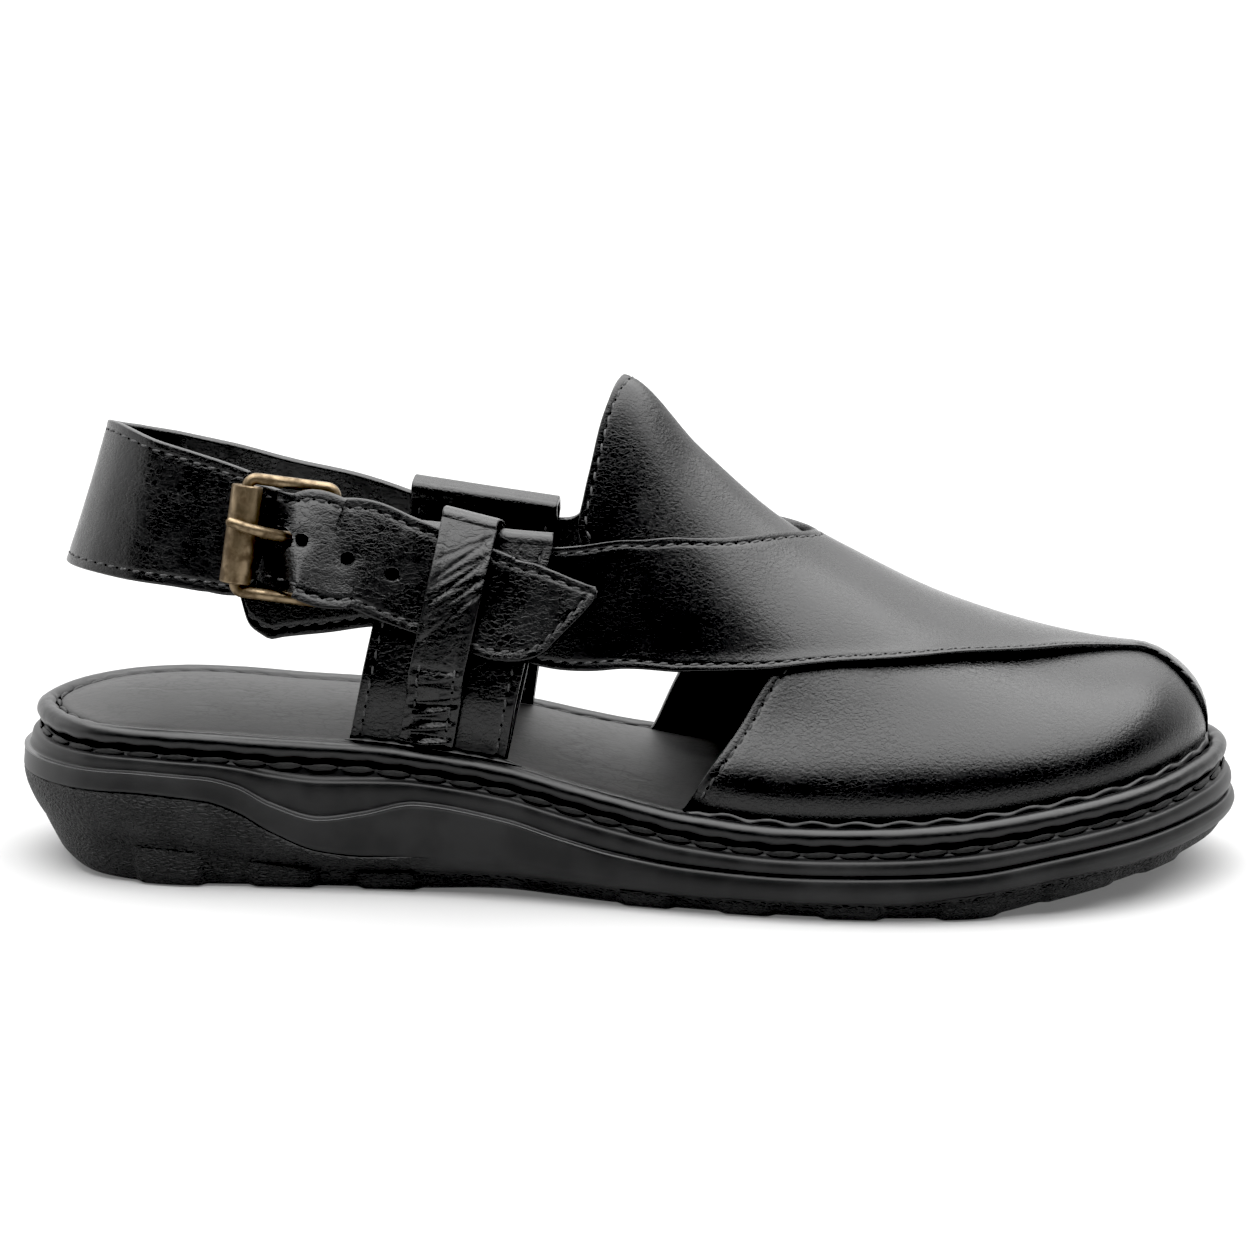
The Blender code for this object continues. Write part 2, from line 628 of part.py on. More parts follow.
def build_tab(name, group):
    """Loop from the footbed up the outside of a wing, over it and down inside."""
    leather = finish(name + "_leather", UPPER_BLACK, LEATHER_ROUGHNESS)
    sizes = dict(zip(TAB_COLUMNS, TABS[name]))
    foot = np.linspace(sizes["foot_from"], sizes["foot_to"], TAB_COLUMN_COUNT)
    foot_z = level("seat", foot) + TAB_FOOT_RISE
    fold_z = np.linspace(sizes["fold_from"], sizes["fold_to"], len(foot))
    outer, inner = tab_lifts(sizes, foot)

    def s_of(z):
        return foot + sizes["forward"] * (z - foot_z) / (fold_z - foot_z)

    rise = (sizes["out_top"] - sizes["in_top"]) / 2
    points = folded_strip(sizes["side"], s_of, foot_z, fold_z, outer, inner, foot_z, rise, TAB_ROWS)
    sheet(name, points, TAB_WALL, leather, group)


def build_keeper(group):
    """Strip sewn to the lateral tab that holds down the strap's tail and folds over the top."""
    leather = finish("keeper_leather", UPPER_BLACK, LEATHER_ROUGHNESS)
    across = np.linspace(0, KEEPER_WIDTH, KEEPER_COLUMN_COUNT)
    foot = KEEPER_FOOT_S + across
    foot_z = level("seat", foot) + FEATHER_RISE + KEEPER_FOOT_RISE
    outer, _ = tab_lifts(dict(zip(TAB_COLUMNS, TABS["tab_lateral"])), foot)
    fold_z = KEEPER_FOLD_Z - KEEPER_FOLD_DROP * across / KEEPER_WIDTH
    seated = TAB_WALL / 2 + GAP + KEEPER_WALL / 2

    def s_of(z):
        return foot + (KEEPER_TOP_S - KEEPER_FOOT_S) * (z - foot_z) / (fold_z - foot_z)

    def lift_out(z):
        step = ease((z - KEEPER_STEP[0]) / (KEEPER_STEP[1] - KEEPER_STEP[0]))
        return (outer(z) + seated) * (1 - step) + KEEPER_LIFT * step

    def lift_in(_):
        return np.full(KEEPER_COLUMN_COUNT, KEEPER_INSIDE_LIFT)

    points = folded_strip(
        -1, s_of, foot_z, fold_z, lift_out, lift_in, KEEPER_INSIDE_END, KEEPER_FOLD_RISE, KEEPER_ROWS
    )
    sheet("keeper_loop", points, KEEPER_WALL, leather, group)


def strap_rows():
    """Middle line, width and lean of the heel strap, the tail's places worked out on the last."""
    rows = [tuple(row) for row in STRAP_LOOP]
    for s, z, width, lift in STRAP_TAIL:
        at = wall_point(np.array(s), np.array(z), -1, np.array(lift))
        above = wall_point(np.array(s), np.array(z + LEAN_PROBE), -1, np.array(lift))
        lean = math.degrees(math.atan2(above[1] - at[1], above[2] - at[2]))
        rows.append((at[0], at[1], at[2], width, lean))
    return rows


def strap_hole(name, radius, s, z, helpers):
    """Round cutter through the strap, across the shoe."""
    bpy.ops.mesh.primitive_cylinder_add(
        vertices=CUTTER_SIDES,
        radius=radius * MM,
        depth=HOLE_CUT_DEPTH * MM,
        location=place((s, HOLE_CUT_Y, z)),
        rotation=(math.pi / 2, 0, 0),
    )
    cutter = bpy.context.active_object
    cutter.name = name
    for owner in list(cutter.users_collection):
        owner.objects.unlink(cutter)
    helpers.objects.link(cutter)
    make_cutter(cutter)
    return cutter


def build_strap(group, helpers):
    """Heel strap: a band carried along its middle line, leaning in at the top, with its holes cut."""
    leather = finish("strap_leather", STRAP_BLACK, LEATHER_ROUGHNESS)
    line = curve_through(strap_rows(), STRAP_STEPS + 1)
    centre = line[:, :3]
    tangent = np.gradient(centre, axis=0)
    tangent /= np.linalg.norm(tangent, axis=1)[:, None]
    inward = np.cross((0.0, 0.0, 1.0), tangent)
    inward /= np.linalg.norm(inward, axis=1)[:, None]
    upright = np.cross(tangent, inward)
    lean = np.radians(line[:, 4])[:, None]
    width_way = np.cos(lean) * upright + np.sin(lean) * inward
    share = np.linspace(-0.5, 0.5, STRAP_COLUMN_COUNT)[None, :, None]
    points = centre[:, None] + share * line[:, 3][:, None, None] * width_way[:, None]
    strap = sheet("heel_strap", points, STRAP_WALL, leather, group)
    for k, (s, z) in enumerate(STRAP_HOLES):
        boolean(strap, "DIFFERENCE", strap_hole("hole_cutter_%d" % k, HOLE_RADIUS, s, z, helpers))
    boolean(strap, "DIFFERENCE", strap_hole("prong_cutter", PRONG_HOLE_RADIUS, *PRONG_HOLE, helpers))


def wire(name, points, radius, material, group, closed, taper=None):
    """Round wire along points in millimetres."""
    data = bpy.data.curves.new(name, "CURVE")
    data.dimensions = "3D"
    data.bevel_depth = radius * MM
    data.bevel_resolution = 2
    data.use_fill_caps = not closed
    spline = data.splines.new("POLY")
    spline.points.add(len(points) - 1)
    placed = place(points)
    for k, point in enumerate(spline.points):
        point.co = (*placed[k], 1.0)
        point.radius = 1.0 if taper is None else taper[k]
    spline.use_cyclic_u = closed
    spline.use_smooth = True
    data.materials.append(material)
    item = bpy.data.objects.new(name, data)
    group.objects.link(item)
    return item


def build_buckle(group):
    """Brass roller buckle: bent wire frame, roller on its rear bar, prong lying on the roller."""
    brass = finish("buckle_brass", BRASS, LEATHER_ROUGHNESS, 1.0)
    roller_at = np.array(ROLLER_AT)
    bar_at = np.array(HEEL_BAR_AT)
    along = bar_at - roller_at
    length = float(np.linalg.norm(along))
    along /= length
    up = np.array(BAR_LEAN) - np.dot(BAR_LEAN, along) * along
    up /= np.linalg.norm(up)
    corners = ((length, -1, 1), (length, 1, 1), (0.0, 1, -1), (0.0, -1, -1))
    path = []
    for k, (reach, end, way) in enumerate(corners):
        start = math.pi / 2 * (k - 1)
        for step in range(CORNER_STEPS + 1):
            angle = start + math.pi / 2 * step / CORNER_STEPS
            a = reach - way * FRAME_CORNER + FRAME_CORNER * math.cos(angle)
            b = end * (FRAME_HALF - FRAME_CORNER) + FRAME_CORNER * math.sin(angle)
            path.append(roller_at + a * along + b * up)
    wire("buckle_frame", path, WIRE_RADIUS, brass, group, closed=True)

    half = ROLLER_LENGTH / 2
    profile = ((ROLLER_RADIUS, half), (ROLLER_RADIUS, -half), (ROLLER_BORE, -half), (ROLLER_BORE, half))
    mesh = bpy.data.meshes.new("buckle_roller")
    mesh.from_pydata([(r * MM, 0.0, z * MM) for r, z in profile], [(0, 1), (1, 2), (2, 3), (3, 0)], [])
    mesh.materials.append(brass)
    roller = bpy.data.objects.new("buckle_roller", mesh)
    group.objects.link(roller)
    turn = roller.modifiers.new("turn", "SCREW")
    turn.steps = ROLLER_SIDES
    turn.render_steps = ROLLER_SIDES
    turn.use_merge_vertices = True
    turn.merge_threshold = 0.00001
    roller.location = place(roller_at)
    roller.rotation_mode = "QUATERNION"
    roller.rotation_quaternion = Vector(up).to_track_quat("Z", "Y")

    prong = curve_through(PRONG, PRONG_STEPS)
    taper = np.minimum(1.0, PRONG_TIP + PRONG_TIP_STEP * np.arange(PRONG_STEPS)[::-1])
    wire("buckle_prong", prong, PRONG_RADIUS, brass, group, False, taper=taper)


def main():
    """Build every piece of the sandal."""
    clear_scene()
    parts = collection("closed_toe_sandal")
    helpers = collection("cutters")
    build_sole(parts, helpers)
    build_rand(parts)
    build_insole(parts)
    build_upper(parts, helpers)
    for name in TABS:
        build_tab(name, parts)
    build_strap(parts, helpers)
    build_keeper(parts)
    build_buckle(parts)


main()
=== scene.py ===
"""Looks of the closed-toe sandal: crossed panels, rolled edge, moulded sole, heel strap and brass buckle.

Lengths are millimetres in the shoe's own coordinates: s along the shoe from the back of the heel, y towards
the medial side, z up from the floor. The upper lies on one surface, the last, whose girth g is -1 at the
lateral feather edge, 0 on the ridge of the instep and +1 at the medial feather edge.
"""

import logging
import math
from dataclasses import dataclass, field, replace
from enum import Enum
from typing import Any, Callable, Optional, Sequence, Union

import bpy
import numpy as np
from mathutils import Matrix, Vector

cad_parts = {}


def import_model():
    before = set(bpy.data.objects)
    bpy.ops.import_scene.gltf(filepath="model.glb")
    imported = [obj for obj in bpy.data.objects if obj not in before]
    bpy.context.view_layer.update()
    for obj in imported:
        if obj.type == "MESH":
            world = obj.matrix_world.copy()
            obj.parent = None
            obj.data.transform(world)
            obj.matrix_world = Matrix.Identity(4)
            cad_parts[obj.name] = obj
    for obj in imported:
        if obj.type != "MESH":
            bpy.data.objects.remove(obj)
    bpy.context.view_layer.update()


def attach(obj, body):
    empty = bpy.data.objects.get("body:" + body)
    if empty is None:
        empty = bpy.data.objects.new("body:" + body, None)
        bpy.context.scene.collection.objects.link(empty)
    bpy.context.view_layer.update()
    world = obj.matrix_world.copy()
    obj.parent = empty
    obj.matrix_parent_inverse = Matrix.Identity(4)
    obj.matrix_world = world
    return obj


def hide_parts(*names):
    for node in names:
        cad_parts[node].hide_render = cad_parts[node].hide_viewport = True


LOG = logging.getLogger("sandal")
Array = np.ndarray
Number = Union[float, Array]
Rows = Sequence[Sequence[float]]
Colour = tuple[float, float, float]
Material = bpy.types.Material

MM = 0.001
MIDDLE = 145.5
GAP = 0.3

RAND_RADIUS = 2.6
INSOLE_HEIGHT = 4.8
FEATHER_INSET = 7.2
FEATHER_RISE = INSOLE_HEIGHT + GAP
TOE_ROUND_FROM = 268.0
TOE_END = 283.7
GIRTH_SCALE = 60.0

# Plan of the rolled edge, columns s and y, once round from the heel by the lateral side.
OUTLINE = (
    (0, 0), (6, -17.5), (16, -27.5), (32, -33), (60, -33.8), (85, -33.8), (115, -36.5), (145, -42),
    (170, -47), (195, -50), (215, -49.8), (235, -46.5), (254, -40), (270, -30), (282, -16), (288.5, -4),
    (291, 7), (289.5, 18), (284, 29.5), (274, 37.5), (258, 44), (238, 48.3), (215, 50), (195, 48.5),
    (175, 43), (155, 35), (135, 31.3), (115, 30.8), (90, 32.3), (60, 33.6), (32, 33), (16, 27.5), (6, 17.5),
)

# Heights along the sole: seat of the rolled edge, wave ledge, shelf above the heel, tread line, base.
LEVEL_COLUMNS = ("s", "seat", "ledge", "shelf", "tread", "base")
LEVELS = (
    (-3, 33.2, 27.6, 22.5, 12.5, 6.5),
    (5, 33.2, 27.8, 22.8, 11.5, 5.2),
    (12, 33.2, 28.0, 23.1, 10.6, 3.6),
    (21, 33.2, 28.3, 23.5, 10.2, 2.4),
    (30, 33.2, 28.6, 23.8, 9.8, 2.0),
    (46, 32.7, 27.9, 22.6, 8.8, 2.0),
    (54, 32.2, 26.0, 20.0, 7.4, 2.0),
    (62, 31.7, 21.8, 15.3, 6.4, 2.0),
    (74, 31.2, 18.3, 10.5, 5.4, 2.0),
    (84, 30.8, 19.8, 9.5, 5.2, 2.0),
    (97, 29.6, 22.8, 10.0, 5.4, 2.2),
    (118, 27.0, 20.0, 10.5, 5.8, 3.2),
    (132, 24.0, 16.3, 9.0, 5.2, 2.6),
    (146, 21.1, 13.3, 7.8, 4.8, 2.0),
    (162, 18.3, 11.6, 7.2, 4.6, 2.0),
    (185, 16.6, 10.8, 7.0, 4.6, 2.0),
    (210, 17.1, 11.2, 7.4, 4.8, 2.0),
    (228, 18.2, 11.8, 8.6, 6.4, 2.0),
    (250, 20.7, 14.7, 11.8, 9.4, 5.6),
    (270, 23.1, 16.8, 13.8, 11.2, 8.6),
    (291, 26.2, 18.8, 16.0, 13.6, 11.6),
)

# Sections of the last: height and place of the ridge, roundness of the lateral and medial walls and the rise.
LAST_COLUMNS = ("s", "ridge_z", "ridge_y", "lateral", "medial", "rise")
LAST = (
    (10, 122.0, 0.0, 1.6, 2.1, 1.65),
    (118, 122.0, 0.0, 1.6, 2.1, 1.65),
    (144, 119.3, 1.5, 1.32, 1.6, 1.6),
    (162, 101.5, 2.5, 1.45, 1.55, 1.65),
    (182, 84.0, 3.0, 1.65, 1.65, 1.75),
    (200, 73.4, 3.0, 1.85, 1.85, 1.9),
    (221, 63.0, 3.0, 2.05, 2.05, 2.0),
    (245, 55.3, 3.5, 2.2, 2.2, 2.1),
    (264, 52.3, 5.5, 2.2, 2.2, 2.2),
    (284, 51.0, 8.0, 2.2, 2.2, 2.2),
)

# Edges of the panels on the last, columns s and g, each from the wing at the ankle to the feather edge.
OVER_FRONT = (
    (54.3, -0.7), (56.5, -0.752), (59.5, -0.771), (61.5, -0.779), (64.5, -0.7745), (76, -0.761),
    (88, -0.745), (108, -0.76), (127, -0.775), (146, -0.74), (165, -0.675), (188, -0.575), (207, -0.48),
    (225, -0.35), (244, -0.2), (256, -0.075), (261, -0.03), (265, -0.007), (269, 0.0), (TOE_END, 0.0),
    (TOE_END, 1.0),
)
OVER_REAR = (
    (54.3, -0.56), (58, -0.52), (72, -0.52), (84, -0.545), (92, -0.56), (110, -0.56), (129, -0.56),
    (140, -0.534), (149, -0.505), (158, -0.435), (168, -0.354), (181, -0.179), (187, -0.06), (188.5, 0.03),
    (186.5, 0.11), (181.5, 0.2), (175, 0.29), (168.5, 0.39), (164.5, 0.5), (163.5, 0.6), (164, 0.7),
    (156, 0.85), (152, 0.93), (149, 1.0),
)
UNDER_FRONT = (
    (109, 0.775), (127, 0.775), (146, 0.74), (165, 0.68), (188, 0.58), (207, 0.49), (225, 0.38),
    (244, 0.28), (256, 0.24), (265, 0.22), (273, 0.22), (279, 0.25), (282.3, 0.25), (TOE_END, 0.0),
    (TOE_END, -1.0),
)
UNDER_REAR = (
    (109, 0.568), (118, 0.577), (127, 0.578), (132, 0.558), (134.7, 0.515), (136, 0.45), (137.3, 0.38),
    (139, 0.28), (141.2, 0.17), (143.2, 0.06), (143.7, 0.0), (143.2, -0.06), (141.2, -0.17), (139, -0.28),
    (137.2, -0.383), (135.8, -0.45), (134.8, -0.52), (137, -0.56), (150, -0.56), (166, -0.545),
    (177, -0.53), (183, -0.54), (184, -0.57), (182, -0.603), (179.5, -0.65), (174.3, -0.758),
    (169.5, -0.841), (165, -0.917), (160.8, -1.0),
)

# Heel strap from the medial loop round the heel to the buckle: middle line, width and inward lean.
STRAP_LOOP = (
    (106, 20.9, 68.2, 26.0, 8), (92, 21.9, 71.4, 28.8, 8), (84, 22.7, 73.0, 30.6, 8),
    (74, 23.5, 75.7, 31.3, 10), (58, 24.4, 79.0, 31.0, 11), (43, 23.2, 82.6, 31.9, 13),
    (29, 18.6, 85.6, 33.6, 16), (19.4, 10.0, 87.6, 36.0, 18), (14.9, 0.0, 89.7, 36.4, 18),
    (19.4, -10.0, 90.7, 36.4, 17), (29, -18.2, 89.7, 34.5, 14), (42, -22.6, 87.9, 32.3, 13),
    (50, -24.2, 86.4, 30.9, 13), (55.5, -25.2, 85.3, 29.0, 13), (60, -26.4, 85.9, 23.2, 12),
    (64, -29.4, 85.5, 23.0, 11), (68, -31.6, 85.2, 23.4, 10), (72, -32.4, 85.0, 26.2, 10),
    (77, -32.4, 82.9, 26.4, 11),
)
# Tail of the strap on the lateral wall: place along, middle height, width, lift off the last.
STRAP_TAIL = (
    (84, 79.9, 26.2, 10.2), (92, 77.0, 26.0, 7.6), (98, 75.0, 25.8, 6.9), (104, 73.1, 25.6, 6.6),
    (113, 70.3, 25.3, 6.6), (119, 68.6, 25.0, 6.6), (122.5, 68.5, 24.4, 6.6), (125, 69.0, 22.8, 6.6),
    (127, 69.5, 20.8, 6.6), (131, 70.3, 15.4, 6.6), (135, 71.1, 9.8, 6.6), (138.4, 72.0, 4.8, 6.6),
    (140.3, 72.7, 1.6, 6.6),
)
STRAP_HOLES = ((70.6, 86.0), (81.2, 81.6), (91.6, 77.4))
PRONG_HOLE = (65.7, 86.1)

# Buckle: middle of the roller and of the heel bar, lean of the bars, and the prong from bar to tip.
ROLLER_AT = (56.0, -31.4, 86.8)
HEEL_BAR_AT = (76.4, -28.2, 83.6)
BAR_LEAN = (3.6, 4.6, 24.8)
PRONG = (
    (74.2, -28.6, 84.4), (69.5, -28.4, 85.2), (67.3, -29.0, 85.7), (65.2, -30.4, 86.3), (62, -33.2, 87.6),
    (58.4, -35.7, 89.2), (55.6, -36.2, 90.3), (53.2, -35.7, 91.0),
)


class Side(Enum):
    """Side of the shoe, with its sign along y."""

    LATERAL = -1
    MEDIAL = 1


def ease(share: Number) -> Array:
    """Smooth step from 0 to 1."""
    share = np.clip(share, 0.0, 1.0)
    return share * share * (3 - 2 * share)


def bell(distance: Number, width: Number) -> Array:
    """Soft bump of height 1: a Gaussian of the distance over the width."""
    return np.exp(-((np.asarray(distance) / width) ** 2))


@dataclass(frozen=True)
class Ramp:
    """Smooth step of a place: 0 up to start, 1 a length further on. A negative length runs the other way."""

    start: float
    length: float

    def __call__(self, at: Number) -> Array:
        """Share of the step that a place has reached."""
        return ease((at - self.start) / self.length)


def faded(run: Array, length: float) -> Array:
    """1 along a run, falling smoothly to 0 over a length at both of its ends."""
    return ease(run / length) * ease((run[-1] - run) / length)


def waves(run: Array, rows: Rows) -> Array:
    """Sum of sine waves along a run, each with its height, length of a radian and start."""
    return sum(height * np.sin(run / length + start) for height, length, start in rows)


def hermite(t: Array, step: Array, ends: tuple[Array, Array], slopes: tuple[Array, Array]) -> Array:
    """Cubic Hermite curve at the share t of a step, from the values and slopes at its two ends."""
    start = (2 * t**3 - 3 * t**2 + 1) * ends[0] + (t**3 - 2 * t**2 + t) * step * slopes[0]
    end = (3 * t**2 - 2 * t**3) * ends[1] + (t**3 - t**2) * step * slopes[1]
    return start + end


def unit(vectors: Array) -> Array:
    """Vectors scaled to length 1 along their last axis."""
    return vectors / np.maximum(np.linalg.norm(vectors, axis=-1, keepdims=True), 1e-12)


def run_length(points: Array, axis: int) -> Array:
    """Length run along one axis of a grid of points, from 0 at its start."""
    steps = np.linalg.norm(np.diff(points, axis=axis), axis=-1)
    start = np.zeros_like(np.take(steps, [0], axis=axis))
    return np.concatenate([start, np.cumsum(steps, axis=axis)], axis=axis)


def place(points: Array) -> Array:
    """Points in millimetres of the shoe as metres of the frame."""
    return (np.asarray(points, float) - (MIDDLE, 0.0, 0.0)) * MM


def circle(steps: int) -> Array:
    """Angles once round a circle, its start not repeated."""
    return np.linspace(0, 2 * np.pi, steps, endpoint=False)


def linked(name: str, data: Any) -> bpy.types.Object:
    """New object of that data in the scene."""
    made = bpy.data.objects.new(name, data)
    bpy.context.scene.collection.objects.link(made)
    return made


@dataclass(frozen=True)
class Table:
    """Short table of named columns, read by a monotone cubic along its first column."""

    columns: Sequence[str]
    rows: Rows

    def read(self, name: str, at: Number) -> Array:
        """One column at places along the first.

        Slopes are the harmonic mean of the neighbouring chords, and 0 where those change sign.

        Args:
            name: column to read.
            at: places along the first column.

        Returns:
            The column's values there.
        """
        table = np.array(self.rows, float)
        knots = table[:, 0]
        values = table[:, self.columns.index(name)]
        step = np.diff(knots)
        chord = np.diff(values) / step
        same = chord[:-1] * chord[1:] > 0
        total = np.where(same, chord[:-1] + chord[1:], 1.0)
        inner = np.where(same, 2 * chord[:-1] * chord[1:] / total, 0.0)
        slope = np.concatenate([chord[:1], inner, chord[-1:]])
        at = np.clip(np.asarray(at, float), knots[0], knots[-1])
        k = np.clip(np.searchsorted(knots, at, side="right") - 1, 0, len(step) - 1)
        t = (at - knots[k]) / step[k]
        return hermite(t, step[k], (values[k], values[k + 1]), (slope[k], slope[k + 1]))


class Path:
    """Cubic curve through rows of numbers, read by the share of the way along its chords."""

    def __init__(self, rows: Rows, closed: bool = False) -> None:
        """Slopes are the neighbouring chords' directions, the shorter chord weighing more.

        Args:
            rows: points, whose first two or three columns are a place.
            closed: whether the curve comes back to its first point.
        """
        points = np.array(rows, float)
        self.loop = np.vstack([points, points[:1]]) if closed else points
        self.chord = np.linalg.norm(np.diff(self.loop[:, :3], axis=0), axis=1)
        steps = np.diff(self.loop, axis=0) / self.chord[:, None]
        if closed:
            before = np.roll(steps, 1, axis=0)
            weight = np.roll(self.chord, 1)[:, None]
            slope = (before * self.chord[:, None] + steps * weight) / (self.chord[:, None] + weight)
            self.slope = np.vstack([slope, slope[:1]])
        else:
            inner = steps[:-1] * self.chord[1:, None] + steps[1:] * self.chord[:-1, None]
            inner /= (self.chord[:-1] + self.chord[1:])[:, None]
            self.slope = np.vstack([steps[:1], inner, steps[-1:]])
        self.along = np.concatenate([[0.0], np.cumsum(self.chord)])
        self.length = float(self.along[-1])

    def at(self, share: Number) -> Array:
        """Rows of the curve at shares of its length, by the cubic Hermite formula."""
        where = np.clip(np.asarray(share, float), 0.0, 1.0) * self.length
        k = np.clip(np.searchsorted(self.along, where, side="right") - 1, 0, len(self.chord) - 1)
        t = ((where - self.along[k]) / self.chord[k])[..., None]
        h = self.chord[k][..., None]
        return hermite(t, h, (self.loop[k], self.loop[k + 1]), (self.slope[k], self.slope[k + 1]))


class SolePlan:
    """Outline of the rolled edge, and the heights along the sole."""

    SAMPLES = 4000

    def __init__(self) -> None:
        """Read the outline once and keep where each side has each s."""
        self.path = Path(OUTLINE, closed=True)
        self.levels = Table(LEVEL_COLUMNS, LEVELS)
        self.share = np.linspace(0, 1, self.SAMPLES + 1)
        self.s = self.path.at(self.share)[:, 0]
        self.toe = int(np.argmax(self.s))

    def level(self, name: str, s: Number) -> Array:
        """Height of a level of the sole at s."""
        return self.levels.read(name, s)

    def share_at(self, s: Number, side: Side) -> Array:
        """Share of the way round at which a side of the outline reaches s."""
        if side is Side.LATERAL:
            return np.interp(s, self.s[: self.toe + 1], self.share[: self.toe + 1])
        return np.interp(s, self.s[self.toe:][::-1], self.share[self.toe:][::-1])

    def normal(self, share: Array) -> Array:
        """Unit normal of the outline in plan, pointing out of the shoe."""
        small = 1.0 / self.SAMPLES
        tangent = self.path.at((share + small) % 1.0) - self.path.at((share - small) % 1.0)
        return unit(np.stack([tangent[..., 1], -tangent[..., 0]], axis=-1))

    def ring(self, share: Array, out: Number, level: str, rise: Number) -> Array:
        """Ring of points: the outline moved out along its normal, at a rise over a level of the sole.

        Args:
            share: places round the outline.
            out: distance out of the outline.
            level: level of the sole that the rise counts from.
            rise: height over that level.

        Returns:
            Points (s, y, z).
        """
        flat = self.path.at(share) + np.asarray(out)[..., None] * self.normal(share)
        return np.concatenate([flat, (self.level(level, flat[..., 0]) + rise)[..., None]], axis=-1)


class Last:
    """Surface that the upper is drawn on: a superellipse from the feather edge to the ridge at each s."""

    FEATHER_SAMPLES = 1440

    def __init__(self, plan: SolePlan) -> None:
        """Keep both feather lines, each from the heel to the toe."""
        self.plan = plan
        self.table = Table(LAST_COLUMNS, LAST)
        share = np.arange(self.FEATHER_SAMPLES) / self.FEATHER_SAMPLES
        line = plan.path.at(share) - FEATHER_INSET * plan.normal(share)
        line = np.roll(line, -int(np.argmin(line[:, 0])), axis=0)
        toe = int(np.argmax(line[:, 0]))
        self.lateral = line[: toe + 1]
        self.medial = np.vstack([line[toe:], line[:1]])[::-1]
        self.toe_radius = float(line[toe, 0]) - TOE_ROUND_FROM

    def section(self, s: Array) -> tuple[Array, Array]:
        """Height of the feather edge at s, and of the ridge over it, rounded down as an arc at the toe."""
        feather = self.plan.level("seat", s) + FEATHER_RISE
        reach = np.clip(s - TOE_ROUND_FROM, 0, None) / self.toe_radius
        toe = np.sqrt(np.clip(1 - reach**2, 0, 1))
        return feather, (self.table.read("ridge_z", s) - feather) * toe

    def point(self, s: Number, g: Number) -> Array:
        """Point of the last at a place s and a girth g.

        With a = (1 - |g|) * 90 degrees it lies width * cos(a)^(2/n) across and height * sin(a)^(2/m) up.
        """
        s, g = np.broadcast_arrays(np.asarray(s, float), np.asarray(g, float))
        feather, height = self.section(s)
        ridge_y = self.table.read("ridge_y", s)
        lateral = np.interp(s, self.lateral[:, 0], self.lateral[:, 1])
        medial = np.interp(s, self.medial[:, 0], self.medial[:, 1])
        width = np.clip(np.where(g < 0, ridge_y - lateral, medial - ridge_y), 0, None)
        wall = np.where(g < 0, self.table.read("lateral", s), self.table.read("medial", s))
        angle = (1 - np.abs(g)) * np.pi / 2
        across = width * np.clip(np.cos(angle), 0, 1) ** (2 / wall)
        up = height * np.clip(np.sin(angle), 0, 1) ** (2 / self.table.read("rise", s))
        return np.stack([s, ridge_y + np.sign(g) * across, feather + up], axis=-1)

    def normal(self, s: Array, g: Array) -> tuple[Array, Array]:
        """Unit normal out of the foot and unit tangent towards +g, from small steps in s and g."""
        step_s, step_g = 0.3, 0.006
        along = self.point(np.minimum(s + step_s, TOE_END), g) - self.point(s - step_s, g)
        across = self.point(s, np.minimum(g + step_g, 1)) - self.point(s, np.maximum(g - step_g, -1))
        return unit(np.cross(along, across)), unit(across)

    def girth(self, s: Array, z: Array, side: Side) -> Array:
        """Girth at which a side of the last has the height z."""
        feather, height = self.section(s)
        share = np.clip((z - feather) / height, 0, 1) ** (self.table.read("rise", s) / 2)
        return side.value * (1 - np.arcsin(share) * 2 / np.pi)

    def wall(self, s: Number, z: Number, side: Side, lift: Number) -> Array:
        """Point at height z on a side of the last, lifted off it along its normal."""
        s, z = np.broadcast_arrays(np.asarray(s, float), np.asarray(z, float))
        g = self.girth(s, z, side)
        normal, _ = self.normal(s, g)
        return self.point(s, g) + np.asarray(lift)[..., None] * normal

    def rolled(self, s: Array) -> Array:
        """Stretch s round the toe as an arc, so that steps stay even down its front."""
        past = np.clip((s - TOE_ROUND_FROM) / self.toe_radius, 0, 1)
        return np.minimum(s, TOE_ROUND_FROM) + self.toe_radius * np.arcsin(past)

    def unrolled(self, q: Array) -> Array:
        """Back from the stretched coordinate to s."""
        past = np.clip((q - TOE_ROUND_FROM) / self.toe_radius, 0, np.pi / 2)
        return np.minimum(np.minimum(q, TOE_ROUND_FROM) + self.toe_radius * np.sin(past), TOE_END)


